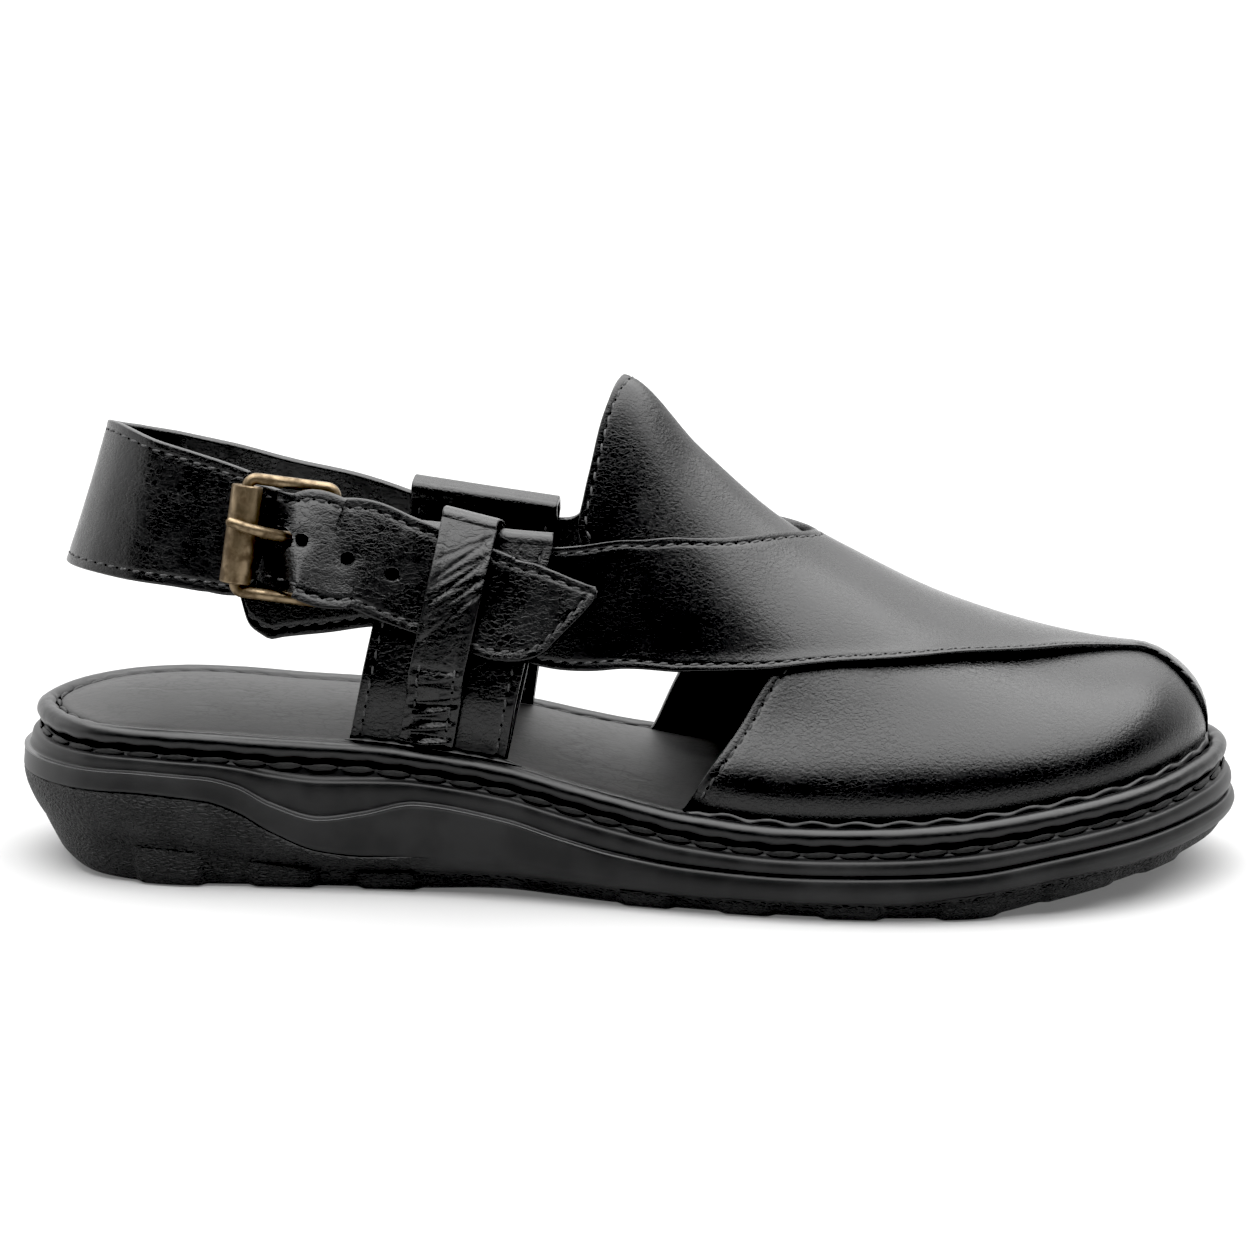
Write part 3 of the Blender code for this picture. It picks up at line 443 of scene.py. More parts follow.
class Socket:
    """Output of a shader node, with the operators that value maths is written in."""

    def __init__(self, nodes: "Nodes", output: Any) -> None:
        """Wrap one output of a tree."""
        self.nodes = nodes
        self.output = output

    def maths(self, operation: str, first: Any, second: Any) -> "Socket":
        """Math node on two values or sockets."""
        return self.nodes.node("ShaderNodeMath", {"operation": operation}, {0: first, 1: second})

    def __add__(self, other: Any) -> "Socket":
        """self + other."""
        return self.maths("ADD", self, other)

    def __radd__(self, other: Any) -> "Socket":
        """other + self."""
        return self.maths("ADD", other, self)

    def __sub__(self, other: Any) -> "Socket":
        """self - other."""
        return self.maths("SUBTRACT", self, other)

    def __rsub__(self, other: Any) -> "Socket":
        """other - self."""
        return self.maths("SUBTRACT", other, self)

    def __mul__(self, other: Any) -> "Socket":
        """self * other."""
        return self.maths("MULTIPLY", self, other)

    def __rmul__(self, other: Any) -> "Socket":
        """other * self."""
        return self.maths("MULTIPLY", other, self)

    def __abs__(self) -> "Socket":
        """Distance of the value from 0."""
        return self.maths("ABSOLUTE", self, 0.0)

    def band(self, low: float, high: float) -> "Socket":
        """Smooth step of the value from 0 at low to 1 at high."""
        return self.between(low, high, 0.0, 1.0)

    def between(self, low: float, high: float, first: float, second: float) -> "Socket":
        """Smooth step of the value from first at low to second at high."""
        settings = {"interpolation_type": "SMOOTHSTEP"}
        inputs = {"Value": self, "From Min": low, "From Max": high, "To Min": first, "To Max": second}
        return self.nodes.node("ShaderNodeMapRange", settings, inputs)


class Nodes:
    """Node tree, with one method that adds any node."""

    def __init__(self, tree: bpy.types.NodeTree) -> None:
        """Work on a tree."""
        self.tree = tree

    def node(self, kind: str, settings: Optional[dict[str, Any]] = None,
             inputs: Optional[dict[Any, Any]] = None, output: Any = 0) -> Socket:
        """Add a node, set it, then fill or link its sockets.

        Args:
            kind: type of the node.
            settings: its properties.
            inputs: values or sockets by the input's name or number.
            output: the output that is handed back.

        Returns:
            That output, wrapped.
        """
        made = self.tree.nodes.new(kind)
        for name, value in (settings or {}).items():
            setattr(made, name, value)
        for name, value in (inputs or {}).items():
            self.fill(made.inputs[name], value)
        return Socket(self, made.outputs[output])

    def fill(self, socket: Any, value: Any) -> None:
        """Link a socket to another, or set its value."""
        if isinstance(value, Socket):
            self.tree.links.new(value.output, socket)
        else:
            socket.default_value = value


class Shader(Nodes):
    """Node tree of one material, and the nodes that finishes are made of."""

    def __init__(self, name: str) -> None:
        """Start from a Principled material of that name."""
        self.material = bpy.data.materials.new(name)
        self.material.use_nodes = True
        super().__init__(self.material.node_tree)
        self.surface = self.tree.nodes["Principled BSDF"]

    def set(self, **values: Any) -> None:
        """Fill inputs of the Principled shader, named with _ for a space."""
        for name, value in values.items():
            self.fill(self.surface.inputs[name.replace("_", " ")], value)

    def millimetres(self) -> Socket:
        """Object coordinates in millimetres."""
        return self.vector("SCALE", self.node("ShaderNodeTexCoord", output="Object"), Scale=1 / MM)

    def attribute(self, name: str) -> Socket:
        """Value that the mesh keeps for its points."""
        return self.node("ShaderNodeAttribute", {"attribute_name": name}, None, "Fac")

    def vector(self, operation: str, first: Any, second: Any = (0.0, 0.0, 0.0), **more: Any) -> Socket:
        """Vector Math node."""
        inputs = {0: first, 1: second, **more}
        return self.node("ShaderNodeVectorMath", {"operation": operation}, inputs)

    def noise(self, at: Socket, scale: float, detail: float = 2.0, output: str = "Fac") -> Socket:
        """Noise at places in millimetres, scale in cycles a millimetre."""
        inputs = {"Vector": at, "Scale": scale, "Detail": detail}
        return self.node("ShaderNodeTexNoise", None, inputs, output)

    def warped(self, at: Socket, scale: float, reach: float) -> Socket:
        """Places moved about by noise, up to reach millimetres."""
        shake = self.vector("SUBTRACT", self.noise(at, scale, output="Color"), (0.5, 0.5, 0.5))
        return self.vector("ADD", at, self.vector("SCALE", shake, Scale=2 * reach))

    def cells(self, at: Socket, size: float) -> Socket:
        """Distance to the edge of cells of that size: 0 on the creases between them."""
        inputs = {"Vector": at, "Scale": 1 / size}
        return self.node("ShaderNodeTexVoronoi", {"feature": "DISTANCE_TO_EDGE"}, inputs, "Distance")

    def mix(self, share: Socket, first: Sequence[float], second: Sequence[float]) -> Socket:
        """Colour between two, by a share."""
        inputs = {0: share, 6: (*first, 1.0), 7: (*second, 1.0)}
        return self.node("ShaderNodeMix", {"data_type": "RGBA"}, inputs, 2)

    def bump(self, height_mm: Socket) -> Socket:
        """Normal from a height in millimetres."""
        inputs = {"Height": height_mm, "Distance": MM, "Strength": 1.0}
        return self.node("ShaderNodeBump", None, inputs)


@dataclass(frozen=True)
class LeatherFinish:
    """Black finished leather: fine grain, crackle lines, long wrinkles, and a gloss that breaks on them."""

    name: str
    dark: Colour
    light: Colour
    roughness: float
    specular: float
    grain_mm: float
    grain_depth_mm: float
    crackle_mm: float
    crackle_depth_mm: float
    wrinkle_mm: float
    wrinkle_depth_mm: float
    puff_mm: float
    puff_depth_mm: float

    # Stretch of the crackle along the axes, half width of noise's middle lines, and cycles a millimetre of
    # the patches that crackle and wrinkles gather in and of the wear.
    STRETCH = (0.7, 1.0, 1.2)
    LINE = 0.05
    PATCHES = 0.06
    WEAR = 0.11

    def material(self) -> Material:
        """Nodes: noise as grain, cell edges and noise's middle lines as crackle and wrinkles, soft puffs.

        The attribute form is a height in millimetres that leans the gloss as the photo's fuller walls do.
        """
        shader = Shader(self.name)
        at = shader.millimetres()
        grain = shader.noise(at, 1 / self.grain_mm, 3.0)
        slanted = shader.vector("MULTIPLY", at, self.STRETCH)
        crumpled = shader.warped(slanted, 1.1 / self.crackle_mm, 0.75 * self.crackle_mm)
        patch = shader.noise(at, self.PATCHES, 2.0).band(0.3, 0.68)
        crackle = (1 - shader.cells(crumpled, self.crackle_mm).band(0.0, 0.13)) * (0.25 + patch * 0.75)
        line = 1 - abs(shader.noise(slanted, 0.8 / self.crackle_mm, 3.0) - 0.5).band(0.0, self.LINE)
        wrinkle = 1 - abs(shader.noise(slanted, 1 / self.wrinkle_mm, 3.0) - 0.5).band(0.0, self.LINE)
        puff = shader.noise(slanted, 1 / self.puff_mm, 1.0)
        form = shader.attribute("form")
        height = grain * self.grain_depth_mm - (crackle + line * 0.6) * self.crackle_depth_mm
        height = height - wrinkle * patch * self.wrinkle_depth_mm + puff * self.puff_depth_mm + form
        worn = shader.noise(at, self.WEAR, 3.0)
        shader.set(
            Base_Color=shader.mix(worn.band(0.3, 0.75), self.dark, self.light),
            Roughness=self.roughness + (worn - 0.5) * 0.14 + crackle * 0.06,
            Specular_IOR_Level=self.specular,
            Normal=shader.bump(height),
        )
        return shader.material


@dataclass(frozen=True)
class RubberFinish:
    """Moulded black rubber: satin, pebbled where the value tread is 1, with a painted highlight where ridge
    is 1.
    """

    name: str
    colour: Colour
    grey_tone_and_highlight: Colour
    roughness: float
    specular: float
    pebble_mm: float
    pebble_depth_mm: float

    # Turn and stretch of the pebbles, and cycles a millimetre of the mould's fine and slow grain.
    PEBBLE_TURN_DEG = 38.0
    PEBBLE_STRETCH = (0.5, 1.0, 1.15)
    FINE = 1.6
    SLOW = 0.09

    def material(self) -> Material:
        """Nodes: stretched cells turned across the heel, faded in by tread, and a fine mould grain."""
        shader = Shader(self.name)
        at = shader.millimetres()
        tread = shader.attribute("tread")
        ridge = shader.attribute("ridge")
        turn = (0.0, math.radians(self.PEBBLE_TURN_DEG), 0.0)
        inputs = {"Vector": at, "Rotation": turn, "Scale": self.PEBBLE_STRETCH}
        turned = shader.node("ShaderNodeMapping", None, inputs)
        pebble = shader.cells(shader.warped(turned, 0.7, 0.5), self.pebble_mm).band(0.0, 0.35)
        fine = shader.noise(at, self.FINE, 3.0)
        mould = shader.noise(at, self.SLOW, 2.0)
        height = pebble * tread * self.pebble_depth_mm + fine * (0.012 + 0.03 * tread) + mould * 0.06
        shader.set(
            # Slow mould noise varies the tone; the ridge attribute paints a highlight, a lighter grey on the
            # ledge's edge.
            Base_Color=shader.mix(mould.band(0.35, 0.7) * 0.3 + ridge * 0.7, self.colour, self.grey_tone_and_highlight),
            Roughness=self.roughness + tread * 0.12 + (mould - 0.5) * 0.12 - ridge * 0.2,
            Specular_IOR_Level=self.specular,
            Normal=shader.bump(height),
        )
        return shader.material


@dataclass(frozen=True)
class BrassFinish:
    """Antique brass: warm metal with brown patina in patches and small pits."""

    name: str
    metal: Colour
    patina: Colour

    def material(self) -> Material:
        """Nodes: patina from slow noise, pits and scratches from fine noise."""
        shader = Shader(self.name)
        at = shader.millimetres()
        patch = shader.noise(at, 0.35, 4.0).band(0.35, 0.68)
        fine = shader.noise(at, 2.4, 3.0)
        shader.set(
            Base_Color=shader.mix(patch, self.metal, self.patina),
            Metallic=1.0 - patch * 0.25,
            Roughness=0.3 + patch * 0.2 + fine * 0.12,
            Normal=shader.bump(fine * 0.03 + patch * 0.02),
        )
        return shader.material


@dataclass(frozen=True)
class ThreadFinish:
    """Waxed black thread, a little lighter than the leather."""

    name: str
    colour: Colour
    tip: Colour

    def material(self) -> Material:
        """Nodes: fibre noise in colour, gloss and bump."""
        shader = Shader(self.name)
        at = shader.millimetres()
        fibre = shader.noise(shader.vector("MULTIPLY", at, (2.0, 2.0, 5.0)), 1.4, 3.0)
        shader.set(
            Base_Color=shader.mix(fibre.band(0.4, 0.7), self.colour, self.tip),
            Roughness=0.42 + fibre * 0.25,
            Specular_IOR_Level=0.5,
            Normal=shader.bump(fibre * 0.12),
        )
        return shader.material


@dataclass(frozen=True)
class HoleShadeFinish:
    """Unlit depth of a stitch hole or a gap: black without gloss."""

    name: str

    def material(self) -> Material:
        """Plain constants."""
        shader = Shader(self.name)
        shader.set(Base_Color=(0.0008, 0.0008, 0.0008, 1.0), Roughness=1.0, Specular_IOR_Level=0.02)
        return shader.material


@dataclass(frozen=True)
class Finishes:
    """Materials of the sandal, made once."""

    panel: Material
    strap: Material
    tab: Material
    rand: Material
    footbed: Material
    sole: Material
    brass: Material
    thread: Material
    cord: Material
    # Black without gloss: painted shade for the depth of holes and gaps.
    hole: Material

    @classmethod
    def make(cls) -> "Finishes":
        """Finish of each kind of piece, read off the photo."""
        black = LeatherFinish(
            "panel_leather", dark=(0.002, 0.002, 0.0022), light=(0.0045, 0.0045, 0.0048), roughness=0.26,
            specular=0.5, grain_mm=0.7, grain_depth_mm=0.085, crackle_mm=1.2, crackle_depth_mm=0.019,
            wrinkle_mm=16.0, wrinkle_depth_mm=0.0, puff_mm=9.0, puff_depth_mm=0.04,
        )
        milled = replace(
            black, name="strap_leather", dark=(0.004, 0.004, 0.0041), light=(0.009, 0.009, 0.0093),
            roughness=0.27, grain_depth_mm=0.055, crackle_mm=1.6, crackle_depth_mm=0.035, wrinkle_mm=13.0,
            wrinkle_depth_mm=0.04, puff_mm=5.0, puff_depth_mm=0.12,
        )
        footbed = replace(
            black, name="footbed_leather", dark=(0.013, 0.0128, 0.0128), light=(0.023, 0.0225, 0.022),
            roughness=0.5, specular=0.48, grain_depth_mm=0.03, crackle_mm=3.0, crackle_depth_mm=0.015,
            wrinkle_mm=22.0, wrinkle_depth_mm=0.06,
        )
        rubber = RubberFinish(
            "sole_rubber", colour=(0.0045, 0.0045, 0.0047), grey_tone_and_highlight=(0.036, 0.036, 0.0365), roughness=0.44,
            specular=0.42, pebble_mm=1.05, pebble_depth_mm=0.42,
        )
        rolled = replace(
            black, name="rand_leather", roughness=0.34, grain_depth_mm=0.015, crackle_depth_mm=0.0,
            puff_mm=5.0, puff_depth_mm=0.22,
        )
        thread = ThreadFinish("black_thread", colour=(0.03, 0.03, 0.0305), tip=(0.1, 0.1, 0.101))
        cord = replace(thread, name="black_cord", colour=(0.003, 0.003, 0.003), tip=(0.012, 0.012, 0.012))
        brass = BrassFinish("buckle_brass", metal=(0.24, 0.185, 0.12), patina=(0.085, 0.06, 0.035))
        return cls(
            panel=black.material(),
            strap=milled.material(),
            tab=replace(milled, name="tab_leather", wrinkle_mm=10.0, wrinkle_depth_mm=0.1).material(),
            rand=rolled.material(),
            footbed=footbed.material(),
            sole=rubber.material(),
            brass=brass.material(),
            thread=thread.material(),
            cord=cord.material(),
            hole=HoleShadeFinish("stitch_hole_shade").material(),
        )


def grid_quads(index: Array) -> Array:
    """Quads between neighbouring rows and columns of a grid of indices."""
    corners = (index[:-1, :-1], index[1:, :-1], index[1:, 1:], index[:-1, 1:])
    return np.stack(corners, axis=-1).reshape(-1, 4)


def outwards(points: Array, faces: Array) -> Array:
    """Faces turned so that their signed volume is positive. A triangle has -1 as its fourth corner."""
    a, b, c = (points[faces[:, k]] for k in range(3))
    d = points[np.where(faces[:, 3] < 0, faces[:, 2], faces[:, 3])]
    volume = np.sum(a * (np.cross(b, c) + np.cross(c, d)))
    return faces if volume > 0 else turned_over(faces)


def turned_over(faces: Array) -> Array:
    """The same faces seen from their other side."""
    return faces[:, [2, 1, 0, 3]]


@dataclass
class Skin:
    """Closed mesh in the making: points in millimetres, faces of four corners and values of the points."""

    points: Array
    faces: Array
    values: dict[str, Array] = field(default_factory=dict)

    @classmethod
    def joined(cls, skins: Sequence["Skin"]) -> "Skin":
        """Several skins as one."""
        starts = np.cumsum([0] + [len(skin.points) for skin in skins[:-1]])
        faces = [np.where(skin.faces < 0, -1, skin.faces + start) for skin, start in zip(skins, starts)]
        return cls(np.vstack([skin.points for skin in skins]), np.vstack(faces))

    @classmethod
    def sheet(cls, outer: Array, inner: Array, **values: Array) -> "Skin":
        """Two grids of points as one closed skin that shares the outer grid's border, with values on both."""
        rows, columns = outer.shape[:2]
        top = np.arange(rows * columns).reshape(rows, columns)
        low = top + rows * columns
        low[0], low[-1] = top[0], top[-1]
        low[:, 0], low[:, -1] = top[:, 0], top[:, -1]
        faces = np.vstack([grid_quads(top), turned_over(grid_quads(low))])
        points = np.vstack([outer.reshape(-1, 3), inner.reshape(-1, 3)])
        used, faces = np.unique(faces, return_inverse=True)
        faces = faces.reshape(-1, 4)
        kept = {name: np.tile(value.ravel(), 2)[used] for name, value in values.items()}
        return cls(points[used], outwards(points[used], faces), kept)

    @classmethod
    def tube(cls, rings: Array, closed: bool) -> "Skin":
        """Rings of points along a path, joined up round each ring, and round the path or with capped ends."""
        count, sides = rings.shape[:2]
        index = np.arange(count * sides).reshape(count, sides)
        index = np.hstack([index, index[:, :1]])
        if closed:
            index = np.vstack([index, index[:1]])
        faces = [grid_quads(index)]
        if not closed:
            half = sides // 2
            for ring in (index[0, :-1], index[-1, :-1][::-1]):
                back = ring[::-1]
                faces.append(np.stack([ring[:half - 1], ring[1:half], back[1:half], back[:half - 1]], 1))
        points = rings.reshape(-1, 3)
        faces = np.vstack(faces)
        return cls(points, outwards(points, faces))

    def mesh(self, name: str) -> bpy.types.Mesh:
        """Mesh of the frame, with the values as its attributes."""
        mesh = bpy.data.meshes.new(name)
        triangle = self.faces[:, 3] < 0
        faces = self.faces[~triangle].tolist() + self.faces[triangle, :3].tolist()
        mesh.from_pydata(place(self.points).tolist(), [], faces)
        for key, value in self.values.items():
            kept = mesh.attributes.new(key, "FLOAT", "POINT")
            kept.data.foreach_set("value", np.asarray(value, np.float32).ravel())
        return mesh

    def piece(self, name: str, material: Material, slot: str, *nodes: str) -> bpy.types.Object:
        """Make the object, put it on the root body and hide the solids of the frame that it replaces.

        Args:
            name: name of the piece.
            material: its finish.
            slot: not used.
            *nodes: solids of the frame that it replaces.

        Returns:
            The object, at the origin.
        """
        mesh = self.mesh(name)
        mesh.shade_smooth()
        mesh.materials.append(material)
        made = linked(name, mesh)
        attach(made, "root")
        if nodes:
            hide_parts(*nodes)
        LOG.info("%s: %d faces", name, len(self.faces))
        return made


@dataclass(frozen=True)
class Stitch:
    """One kind of stitch: a spindle of thread whose ends go into the leather, and dark lenses of painted
    shade for the holes between.
    """

    pitch: float = 3.6
    length: float = 2.7
    radius: float = 0.36
    flatness: float = 0.9
    tilt_deg: float = 8.0
    sink: float = 0.36
    hole: float = 0.36
    sides: int = 6
    rings: int = 7
    taper: float = 0.9
    pit_shape: tuple[float, float] = (1.15, 0.2)
    pit_sides: int = 8

    def spindle(self) -> Skin:
        """Spindle along x: radius falls as a superellipse to the ends, which bend down by the sink."""
        t = np.sin(np.linspace(-1, 1, self.rings) * np.pi / 2)
        radius = self.radius * (1 - np.abs(t) ** 3 * self.taper)
        angle = circle(self.sides)
        x = np.repeat(t[:, None] * self.length / 2, self.sides, axis=1)
        y = radius[:, None] * np.cos(angle)
        z = self.flatness * radius[:, None] * np.sin(angle) - (self.sink * t**4)[:, None]
        return Skin.tube(np.stack([x, y, z], axis=-1), closed=False)

    def pit(self) -> Skin:
        """Dark lens of painted shade that reads as a hole, as long and high as its shape says in radii of the
        hole.
        """
        t = np.linspace(-0.96, 0.96, 5)
        radius = np.sqrt(1 - t**2)
        angle = circle(self.pit_sides)
        long, high = self.pit_shape
        x = np.repeat(t[:, None], self.pit_sides, axis=1) * long * self.hole
        y = self.hole * radius[:, None] * np.cos(angle)
        z = high * self.hole * radius[:, None] * np.sin(angle)
        return Skin.tube(np.stack([x, y, z], axis=-1), closed=False)

    def repeated(self, shape: Skin, line: Array, normal: Array, start: float) -> Skin:
        """A shape at every pitch of a line of points, its x along the line and its z along the normals.

        Args:
            shape: what is repeated.
            line: points of the seam on the leather.
            normal: unit normals there.
            start: place of the first, in pitches.

        Returns:
            All of them as one skin.
        """
        run = run_length(line, 0)
        count = max(1, int(run[-1] / self.pitch))
        middle = (np.arange(count) + start) * run[-1] / count
        half = self.length / 2

        def read(values: Array, at: Array) -> Array:
            """Values of the line's points at lengths along it."""
            return np.stack([np.interp(at, run, values[:, k]) for k in range(3)], axis=-1)

        forward = unit(read(line, middle + half) - read(line, middle - half))
        up = read(normal, middle)
        up = unit(up - np.sum(up * forward, axis=-1, keepdims=True) * forward)
        aside = np.cross(up, forward)
        tilt = math.radians(self.tilt_deg)
        forward, aside = (forward * math.cos(tilt) + aside * math.sin(tilt),
                          aside * math.cos(tilt) - forward * math.sin(tilt))
        axes = np.stack([forward, aside, up], axis=1)
        placed = read(line, middle)[:, None] + np.einsum("pk,ckx->cpx", shape.points, axes)
        step = (np.arange(count) * len(shape.points))[:, None, None]
        return Skin(placed.reshape(-1, 3), (shape.faces[None] + step).reshape(-1, 4))


EDGE_STITCH = Stitch(pitch=3.7)


@dataclass
class Seams:
    """Stitches, and the painted shade lenses of their holes, of one sub-assembly, gathered into two pieces.
    """

    finishes: Finishes
    threads: list[Skin] = field(default_factory=list)
    pits: list[Skin] = field(default_factory=list)

    def sew(self, stitch: Stitch, line: Array, normal: Array) -> None:
        """Add a row of stitches, with a dark lens of painted shade for a hole between each two."""
        self.threads.append(stitch.repeated(stitch.spindle(), line, normal, 0.5))
        if stitch.hole:
            self.pits.append(stitch.repeated(stitch.pit(), line, normal, 0.0))

    def build(self, name: str, slot: str, heavy: bool = False) -> None:
        """Make the pieces, the threads in cord if they are heavy."""
        thread = self.finishes.cord if heavy else self.finishes.thread
        Skin.joined(self.threads).piece(name + "_stitches", thread, slot)
        if self.pits:
            Skin.joined(self.pits).piece(name + "_hole_shades", self.finishes.hole, slot)


@dataclass(frozen=True)
class Rim:
    """Cut edge of a leather sheet: where the grid's lines lie beside it, and how it rounds off."""

    radius: float = 0.55
    squareness: float = 2.6
    rows: tuple[float, ...] = (0, 0.04, 0.13, 0.3, 0.55, 0.9, 1.4, 1.8, 2.1, 2.4, 2.7, 3.0, 3.5)
    seam: float = 2.4
    seam_depth: float = 0.2
    seam_width: float = 0.55
    most: float = 0.46

    @property
    def seam_row(self) -> int:
        """Grid line that the stitches run on."""
        return self.rows.index(self.seam)

    def lines(self, width: Array, middle: int) -> Array:
        """Distances from the first edge of the grid lines, close together beside both edges.

        Args:
            width: width of the sheet at each station.
            middle: number of lines between the two edge zones.

        Returns:
            Distances, one row for each station.
        """
        edge = np.array(self.rows)
        scale = np.minimum(1.0, self.most * width / edge[-1])[:, None]
        near = edge[None] * scale
        share = np.linspace(0, 1, middle + 2)[None, 1:-1]
        inner = near[:, -1:] * (1 - share) + (width[:, None] - near[:, -1:]) * share
        return np.hstack([near, inner, width[:, None] - near[:, ::-1]])

    def ends(self, length: float, middle: int) -> Array:
        """Shares of a length, with lines close together at both ends."""
        return self.lines(np.array([length]), middle)[0] / length

    def fullness(self, distance: Array) -> Array:
        """Share of the full thickness at a distance from the edge: a superellipse quarter."""
        short = np.clip(1 - distance / self.radius, 0, 1)
        return (1 - short**self.squareness) ** (1 / self.squareness)

    def groove(self, distance: Array) -> Array:
        """Depth that the stitches pull the leather in beside an edge."""
        return self.seam_depth * bell(distance - self.seam, self.seam_width)

    def grooves(self, sheet: "Sheet") -> Array:
        """Depth of the grooves beside both long edges of a sheet."""
        return self.groove(sheet.first) + self.groove(sheet.last)


@dataclass
class Sheet:
    """Leather sheet on a grid: its middle surface, normals, and distances from its four edges."""

    middle: Array
    normal: Array
    first: Array
    last: Array
    start: Array
    end: Array

    @classmethod
    def over(cls, middle: Array, normal: Optional[Array] = None) -> "Sheet":
        """Measure a grid along its rows and columns; normals come from its steps if not given."""
        if normal is None:
            normal = unit(np.cross(np.gradient(middle, axis=0), np.gradient(middle, axis=1)))
        across = run_length(middle, 1)
        along = run_length(middle, 0)
        return cls(middle, normal, across, across[:, -1:] - across, along, along[-1:] - along)

    @property
    def edge(self) -> Array:
        """Distance to the nearest edge."""
        return np.minimum(np.minimum(self.first, self.last), np.minimum(self.start, self.end))

    def skins(self, wall: float, rim: Rim, raised: Number = 0.0) -> tuple[Array, Array]:
        """Outer and inner surface: half the wall to each side, rounded off at the rim.

        Args:
            wall: thickness of the leather.
            rim: form of its edges.
            raised: height added to the outer surface.

        Returns:
            Outer and inner grid.
        """
        full = rim.fullness(self.edge)
        half = wall / 2 * full
        outer = self.middle + (half + raised * full)[..., None] * self.normal
        return outer, self.middle - half[..., None] * self.normal


@dataclass
class Panel:
    """One leather panel of the upper, ruled on the last between its front and rear edge."""

    last: Last
    name: str
    front: Rows
    rear: Rows
    lift: Callable[["Panel"], Array]
    wall: float = 2.0
    swing: float = 0.0
    rim: Rim = Rim()
    along: int = 250
    across: int = 44
    probes: int = 61

    def ruled(self, u: Array, v: Array) -> tuple[Array, Array]:
        """Places s and g on straight lines from the front to the rear edge in (rolled s, scaled g).

        With x the share of the way down the toe's front, g then moves by -swing * x^2 * (1 - g).
        """
        flat = []
        for rows in (self.front, self.rear):
            table = np.array(rows, float)
            path = Path(np.stack([self.last.rolled(table[:, 0]), table[:, 1] * GIRTH_SCALE], axis=1))
            flat.append(path.at(u)[:, None])
        between = flat[0] + (flat[1] - flat[0]) * v[..., None]
        front = self.last.rolled(TOE_END) - TOE_ROUND_FROM
        down = np.clip((between[..., 0] - TOE_ROUND_FROM) / front, 0, 1)
        g = np.clip(between[..., 1] / GIRTH_SCALE, -1, 1)
        return self.last.unrolled(between[..., 0]), g - self.swing * down**2 * (1 - g)

    def height(self) -> Array:
        """Height over the feather edge of the grid's points on the last."""
        return self.last.point(self.s, self.g)[..., 2] - self.last.section(self.s)[0]

    def build(self) -> None:
        """Lay the grid with its lines at true distances from the edges, then lift it off the last."""
        u = self.rim.ends(Path(self.rear).length, self.along)
        probe = np.broadcast_to(np.linspace(0, 1, self.probes), (len(u), self.probes))
        run = run_length(self.last.point(*self.ruled(u, probe)), 1)
        lines = self.rim.lines(run[:, -1], self.across)
        v = np.stack([np.interp(at, row, probe[0]) for at, row in zip(lines, run)])
        self.s, self.g = self.ruled(u, v)
        self.normal, _ = self.last.normal(self.s, self.g)
        base = self.last.point(self.s, self.g)
        self.sheet = Sheet.over(base, self.normal)
        self.sheet.middle = base + self.lift(self)[..., None] * self.normal
        self.outer, self.inner = self.sheet.skins(self.wall, self.rim, -self.rim.grooves(self.sheet))

    def seam(self, at_rear: bool, along: Sequence[float], girth: Sequence[float]) -> tuple[Array, Array]:
        """Line and normals of the seam beside one edge, between two places along and two of the girth."""
        row = -1 - self.rim.seam_row if at_rear else self.rim.seam_row
        s = self.s[:, row]
        g = self.g[:, row]
        held = (s > along[0]) & (s < along[1]) & (g > girth[0]) & (g < girth[1])
        return self.outer[held, row], self.normal[held, row]


